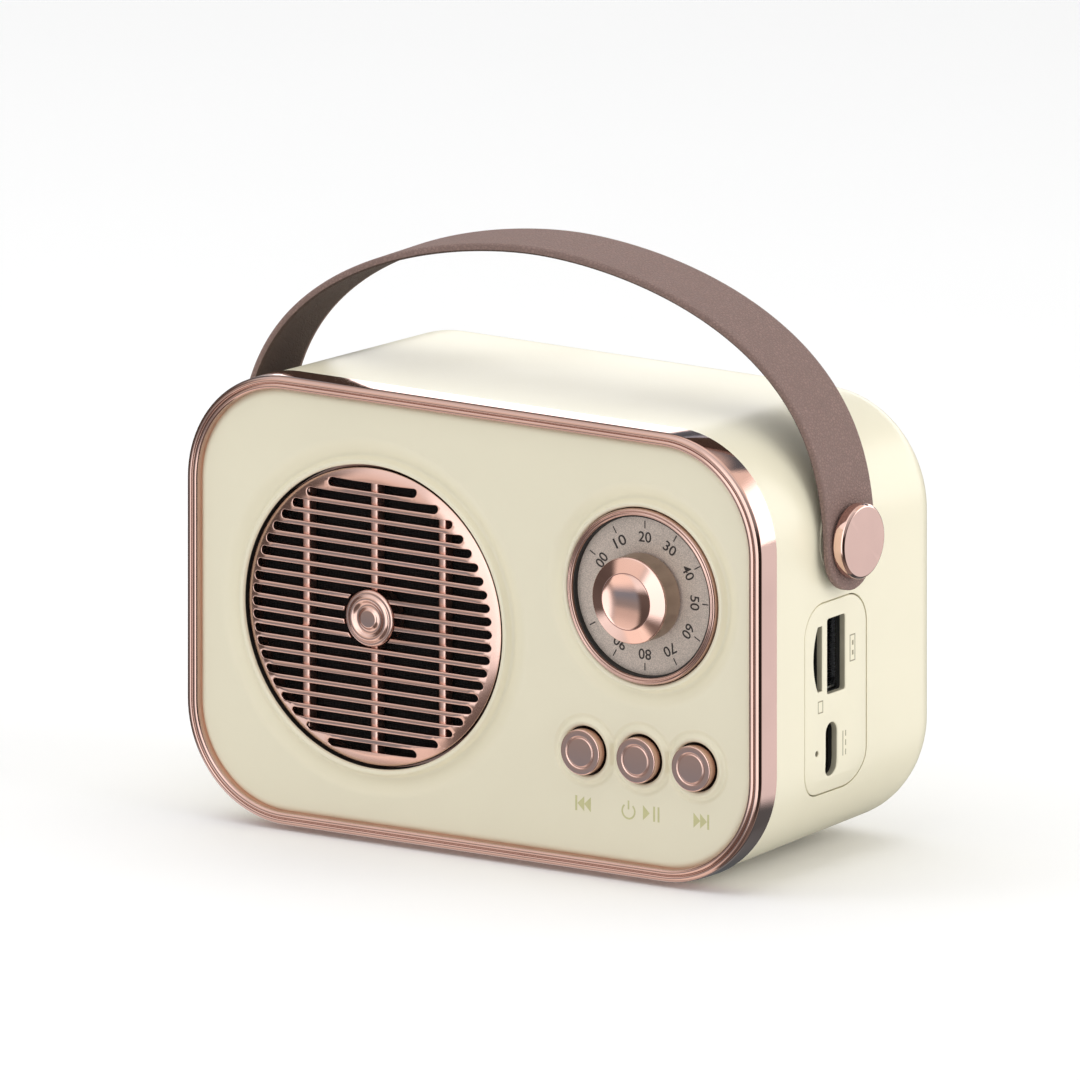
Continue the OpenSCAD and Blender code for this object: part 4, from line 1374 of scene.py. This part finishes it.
class RADIO_OT_strap(bpy.types.Operator):
    """Build the leather strap, bent over the case between its two studs"""

    bl_idname = "radio.strap"
    bl_label = "Leather Strap"

    across = 2 / 1.85
    up = 2 / 3.06
    arch_from = 11.5

    def arch(self, a, half, rise):
        """A point on the arch's inner face and the direction out of it"""
        s, c = max(math.sin(a), 0), math.cos(a)
        side = -1 if c < 0 else 1
        point = Vector((side * half * abs(c) ** self.across, self.arch_from + rise * s**self.up))
        normal = Vector((side * abs(c) ** (2 - self.across) / half, s ** (2 - self.up) / rise))
        return point, normal.normalized()

    def stations(self, half, rise, end_r, low_end):
        """Places along the strap: point on the inner face, normal, and half of the width there"""
        fine = 4000
        line = [self.arch(math.pi * i / fine, half, rise) for i in range(fine + 1)]
        line.insert(0, (Vector((half, low_end)), Vector((1, 0))))
        line.append((Vector((-half, low_end)), Vector((-1, 0))))
        runs = [0]
        for (a, _), (b, _) in zip(line, line[1:]):
            runs.append(runs[-1] + (b - a).length)
        total = runs[-1]
        turns = [math.radians(t) for t in (8, 18, 28, 38, 48, 58, 68, 80, 90)]
        tips = [end_r * (1 - math.cos(turn)) for turn in turns]
        count = 150
        middle_runs = [end_r + (total - 2 * end_r) * i / count for i in range(1, count)]
        wanted = tips + middle_runs + [total - t for t in reversed(tips)]
        result, k = [], 0
        for run in wanted:
            while runs[k + 1] < run:
                k += 1
            t = (run - runs[k]) / max(runs[k + 1] - runs[k], 1e-9)
            point = line[k][0].lerp(line[k + 1][0], t)
            normal = line[k][1].lerp(line[k + 1][1], t).normalized()
            near = min(run, total - run, end_r)
            result.append((point, normal, math.sqrt(end_r**2 - (end_r - near) ** 2)))
        return result

    def section(self, half_width, strap):
        """The strap's cut end: (across, out) points with rounded edges"""
        edge = min(strap.edge, half_width * 0.6)
        thick, points = strap.thickness, []
        corners = ((1, edge, 0), (1, thick - edge, 1), (-1, thick - edge, 2), (-1, edge, 3))
        flat = half_width - edge
        for side, out, quarter in corners:
            for i in range(6):
                a = math.pi / 2 * (quarter - 1 + i / 5)
                points.append((side * flat + edge * math.cos(a), out + edge * math.sin(a)))
            if quarter in (1, 3):
                run = flat * (1 if quarter == 1 else -1)
                level = thick if quarter == 1 else 0
                points += [(run * t, level) for t in (0.92, 0.6, 0.2, -0.2, -0.6, -0.92)]
        return points

    def execute(self, context):
        strap = context.scene.radio_strap
        low, high = limits("handle_strap")
        depth = (low.y + high.y) / 2
        half = high.x - strap.thickness
        rise = high.z - strap.thickness - self.arch_from
        mesh = bmesh.new()
        rings = []
        for point, normal, width in self.stations(half, rise, strap.width / 2, low.z):
            ring = []
            for across, out in self.section(width, strap):
                at = point + normal * out
                ring.append(place(at.x, depth + across, at.y))
            rings.append(ring)
        made = loft(mesh, rings)
        inner = {v for ring in made for v in ring[-11:]}
        bmesh.ops.recalc_face_normals(mesh, faces=mesh.faces)
        for face in mesh.faces:
            face.material_index = 1 if all(v in inner for v in face.verts) else 0
        as_piece(mesh, "leather_strap", ["strap_leather", "strap_lining"], "strap",
                 ["handle_strap"], sharp=60)
        return {"FINISHED"}


class RADIO_OT_studs(bpy.types.Operator):
    """Build the two polished studs that hold the strap"""

    bl_idname = "radio.studs"
    bl_label = "Studs"

    head = 2.45
    shank_r = 2.5

    def execute(self, context):
        radius = context.scene.radio_strap.stud_radius
        for name, side in (("right_stud", 1), ("left_stud", -1)):
            near, far = sorted(abs(corner.x) for corner in limits(name))
            centre = middle(name).yz
            back = far - self.head
            profile = softened([
                (0, far), (radius - 0.5, far, 0.16), (radius - 0.02, far - 0.42, 0.2),
                (radius, back + 0.25, 0.2), (radius - 0.25, back, 0.15),
                (self.shank_r, back, 0.1), (self.shank_r, near), (0, near),
            ], 5)
            lathed_piece(name + "_head", profile, centre, "rose_gold", "case", "rose_gold",
                         [name], steps=128, along="side", side=side)
        return {"FINISHED"}


class RADIO_OT_inner_parts(bpy.types.Operator):
    """Give every remaining piece of the frame the finish of its slot"""

    bl_idname = "radio.inner_parts"
    bl_label = "Inner Parts"

    def execute(self, context):
        slots = {m["slot"]: m for m in frame["record"]["materials"]}
        for slot, entry in slots.items():
            if slot not in bpy.data.materials:
                raise RuntimeError("no finish named " + slot)
            for node in entry.get("nodes", []):
                data = frame["nodes"][node].data
                data.materials.clear()
                data.materials.append(bpy.data.materials[slot])
        for name, node in frame["nodes"].items():
            if not node.data.materials:
                raise RuntimeError(name + " has no finish")
        return {"FINISHED"}


# ---- Stage ----


class RADIO_OT_stage(bpy.types.Operator):
    """Set the floor, the soft light and the camera"""

    bl_idname = "radio.stage"
    bl_label = "Stage"

    fill = 0.59  # brightness of the even light on matt surfaces
    backdrop = 1.02
    camera_distance = 0.8

    def execute(self, context):
        scene = context.scene
        scene.view_settings.view_transform = "Standard"
        scene.view_settings.look = "None"
        self.floor()
        self.sky(scene)
        self.lamps()
        self.camera(scene)
        return {"FINISHED"}

    def floor(self):
        mesh = bmesh.new()
        half = 4
        mesh.faces.new([mesh.verts.new(p) for p in ((-half, -half, 0), (half, -half, 0),
                                                    (half, half, 0), (-half, half, 0))])
        data = bpy.data.meshes.new("floor")
        mesh.to_mesh(data)
        mesh.free()
        floor = bpy.data.objects.new("floor", data)
        bpy.context.scene.collection.objects.link(floor)
        shader = Shader("floor_paper", Roughness=0.9, Specular_IOR_Level=0.1)
        tones = (0.96, 0.96, 0.96), (0.98, 0.98, 0.98)
        shader.set("Base Color", shader.blend(shader.noise(8), *tones))
        data.materials.append(shader.material)
        floor.visible_glossy = False

    def sky(self, scene):
        """Even light for matt surfaces; polished ones see a studio of light and dark panels"""
        world = bpy.data.worlds.new("studio")
        scene.world = world
        world.use_nodes = True
        nodes = Nodes(world.node_tree)
        direction = nodes.add("ShaderNodeTexCoord").outputs["Generated"]
        parts = nodes.add("ShaderNodeSeparateXYZ", Vector=direction).outputs
        rise = nodes.maths("MULTIPLY_ADD", parts["Z"], 0.5, 0.5)
        bearing = nodes.maths("ARCTAN2", parts["Y"], parts["X"])

        def ramp(stops):
            """Colours by height: each stop is (elevation in degrees, brightness, tint)"""
            node = nodes.add("ShaderNodeValToRGB", Fac=rise)
            node.color_ramp.interpolation = "EASE"
            elements = node.color_ramp.elements
            while len(elements) > 1:
                elements.remove(elements[-1])
            for i, (elevation, level, tint) in enumerate(stops):
                at = 0.5 + 0.5 * math.sin(math.radians(elevation))
                element = elements[0] if i == 0 else elements.new(at)
                element.position = at
                element.color = (*(level * t for t in tint), 1)
            return node.outputs["Color"]

        def sector(middle_deg, half_deg, soft_deg):
            """1 within a range of bearings, softly falling to 0"""
            turned = nodes.maths("SUBTRACT", bearing, math.radians(middle_deg))
            wrapped = nodes.maths("WRAP", turned, math.pi, -math.pi)
            node = nodes.add(
                "ShaderNodeMapRange", {"interpolation_type": "SMOOTHSTEP"},
                Value=nodes.maths("ABSOLUTE", wrapped), From_Min=math.radians(half_deg),
                From_Max=math.radians(half_deg + soft_deg), To_Min=1, To_Max=0,
            )
            return node.outputs["Result"]

        def light(strength, colour=(1, 1, 1, 1)):
            node = nodes.add("ShaderNodeBackground", Color=colour, Strength=strength)
            return node.outputs["Background"]

        def either(choice, first, second):
            """The second light for one kind of ray, and the first for every other"""
            node = nodes.add("ShaderNodeMixShader", Fac=rays[choice])
            nodes.link(first, node.inputs[1])
            nodes.link(second, node.inputs[2])
            return node.outputs["Shader"]

        colours = ramp(STUDIO[0][3])
        for middle_deg, half_deg, soft_deg, stops in STUDIO[1:]:
            colours = nodes.blend(sector(middle_deg, half_deg, soft_deg), colours, ramp(stops))
        rays = nodes.add("ShaderNodeLightPath").outputs
        around = either("Is Glossy Ray", light(self.fill), light(1, colours))
        seen = either("Is Camera Ray", around, light(self.backdrop))
        nodes.add("ShaderNodeOutputWorld", Surface=seen)

    def lamps(self):
        """Large soft panels: one above, one low at the right and a smaller one at the front left"""
        aim = place(0, 30, 0)
        for name, at, size, power in (
            ("key", Vector((-0.25, 0.0, 1.2)), 1.8, 9.5),
            ("side", Vector((1.1, 0.1, 0.45)), 0.8, 4.4),
            ("front", Vector((-0.8, -0.75, 0.7)), 0.5, 1.3),
        ):
            light = bpy.data.lights.new(name, "AREA")
            light.energy = power
            light.size = size
            lamp = bpy.data.objects.new(name, light)
            lamp.location = at
            lamp.rotation_euler = (aim - at).to_track_quat("-Z", "Y").to_euler()
            lamp.visible_glossy = False
            bpy.context.scene.collection.objects.link(lamp)

    def camera(self, scene):
        stage = scene.radio_stage
        azimuth, elevation = stage.azimuth, stage.elevation
        right = Vector((math.cos(azimuth), math.sin(azimuth), 0))
        back = Vector((math.sin(azimuth) * math.cos(elevation),
                       -math.cos(azimuth) * math.cos(elevation), math.sin(elevation)))
        up = back.cross(right)
        aim = place(0, 0, 0) + right * stage.aim_right + up * stage.aim_up
        data = bpy.data.cameras.new("camera")
        data.type = "ORTHO"
        data.ortho_scale = stage.view_width
        camera = bpy.data.objects.new("camera", data)
        camera.location = aim + back * self.camera_distance
        camera.rotation_euler = back.to_track_quat("Z", "Y").to_euler()
        scene.collection.objects.link(camera)
        scene.camera = camera


WHITE, PEACH, PINK = (1, 1, 1), (1, 0.88, 0.8), (0.99, 1, 1.03)
DUSK, BROWN, STEEL = (0.82, 1, 1.2), (1, 0.84, 0.77), (0.85, 1, 1.08)

# What polished surfaces see: (bearing, half width, softness, stops). Bearings are in degrees from
# the right, 90 to the rear; each stop is (elevation, brightness, tint). Later rows lie on top.
STUDIO = [
    (0, 180, 0, [(-90, 0.35, PEACH), (-30, 0.5, PEACH), (0, 0.7, WHITE), (90, 1.1, WHITE)]),
    (-4, 30, 8, [(-60, 0.3, BROWN), (-30, 0.07, BROWN), (-13, 0.03, BROWN), (5, 0.05, BROWN),
                 (20, 0.4, PINK), (90, 1.0, WHITE)]),
    (60, 17, 10, [(-60, 0.1, STEEL), (-29, 0.13, STEEL), (-21, 0.9, PINK), (-4, 0.94, PINK),
                  (-2, 2.4, WHITE), (24, 2.6, WHITE), (33, 1.0, PEACH), (50, 0.8, PEACH),
                  (90, 1.0, WHITE)]),
    (103, 25, 5, [(-60, 0.3, STEEL), (-30, 0.12, STEEL), (-10, 0.12, STEEL), (4, 0.5, WHITE),
                  (9, 2.4, WHITE), (17, 2.4, WHITE), (21, 0.16, DUSK), (26, 0.12, DUSK),
                  (30, 0.75, DUSK), (33, 0.16, DUSK), (36, 0.14, DUSK), (42, 0.9, PEACH),
                  (90, 1.0, WHITE)]),
    (154, 20, 8, [(-60, 0.8, PEACH), (-36, 1.0, WHITE), (-26, 1.1, WHITE), (-20, 0.12, BROWN),
                  (0, 0.1, BROWN), (18, 0.14, BROWN), (36, 0.25, DUSK), (56, 0.8, PEACH),
                  (90, 1.0, WHITE)]),
    (-162, 22, 10, [(-60, 0.7, PEACH), (-34, 1.2, WHITE), (-28, 1.3, WHITE), (-20, 0.16, BROWN),
                    (0, 0.12, BROWN), (20, 0.16, BROWN), (45, 1.0, WHITE), (90, 1.2, WHITE)]),
    (-122, 14, 10, [(-60, 1.25, PEACH), (-34, 1.3, PEACH), (-20, 0.34, DUSK), (-9, 0.36, WHITE),
                    (0, 0.75, PEACH), (18, 1.1, PEACH), (50, 1.3, WHITE), (90, 1.2, WHITE)]),
    (-82, 12, 9, [(-60, 0.2, BROWN), (-34, 0.25, BROWN), (-21, 1.7, WHITE), (25, 2.0, WHITE),
                  (90, 1.2, WHITE)]),
    (-52, 10, 9, [(-60, 0.12, BROWN), (-34, 0.25, BROWN), (-22, 2.0, WHITE), (30, 2.2, WHITE),
                  (90, 1.2, WHITE)]),
]


# ---- Add-on ----

BUILD_ORDER = (
    RADIO_OT_finishes, RADIO_OT_front_bezel, RADIO_OT_front_panel, RADIO_OT_rear_shell,
    RADIO_OT_seats, RADIO_OT_port_plate, RADIO_OT_marks, RADIO_OT_feet, RADIO_OT_grille,
    RADIO_OT_boss, RADIO_OT_dial, RADIO_OT_knob, RADIO_OT_buttons, RADIO_OT_strap,
    RADIO_OT_studs, RADIO_OT_inner_parts, RADIO_OT_stage,
)


class RADIO_PT_panel(bpy.types.Panel):
    """Lists the steps that build the radio"""

    bl_idname = "RADIO_PT_panel"
    bl_label = "Portable Radio"
    bl_space_type = "VIEW_3D"
    bl_region_type = "UI"
    bl_category = "Radio"

    def draw(self, context):
        for step in BUILD_ORDER:
            self.layout.operator(step.bl_idname)
        for name, group in SETTINGS.items():
            box = self.layout.box()
            for field in group.__annotations__:
                box.prop(getattr(context.scene, name), field)


def register():
    """Registers the settings, the operators and the panel"""
    for name, group in SETTINGS.items():
        bpy.utils.register_class(group)
        setattr(bpy.types.Scene, name, bpy.props.PointerProperty(type=group))
    for step in BUILD_ORDER:
        bpy.utils.register_class(step)
    bpy.utils.register_class(RADIO_PT_panel)


def unregister():
    """Removes all that register added"""
    bpy.utils.unregister_class(RADIO_PT_panel)
    for step in reversed(BUILD_ORDER):
        bpy.utils.unregister_class(step)
    for name, group in reversed(SETTINGS.items()):
        delattr(bpy.types.Scene, name)
        bpy.utils.unregister_class(group)


def main():
    """Builds the radio"""
    register()
    for step in BUILD_ORDER:
        family, name = step.bl_idname.split(".")
        getattr(getattr(bpy.ops, family), name)()


if __name__ == "__main__":
    main()
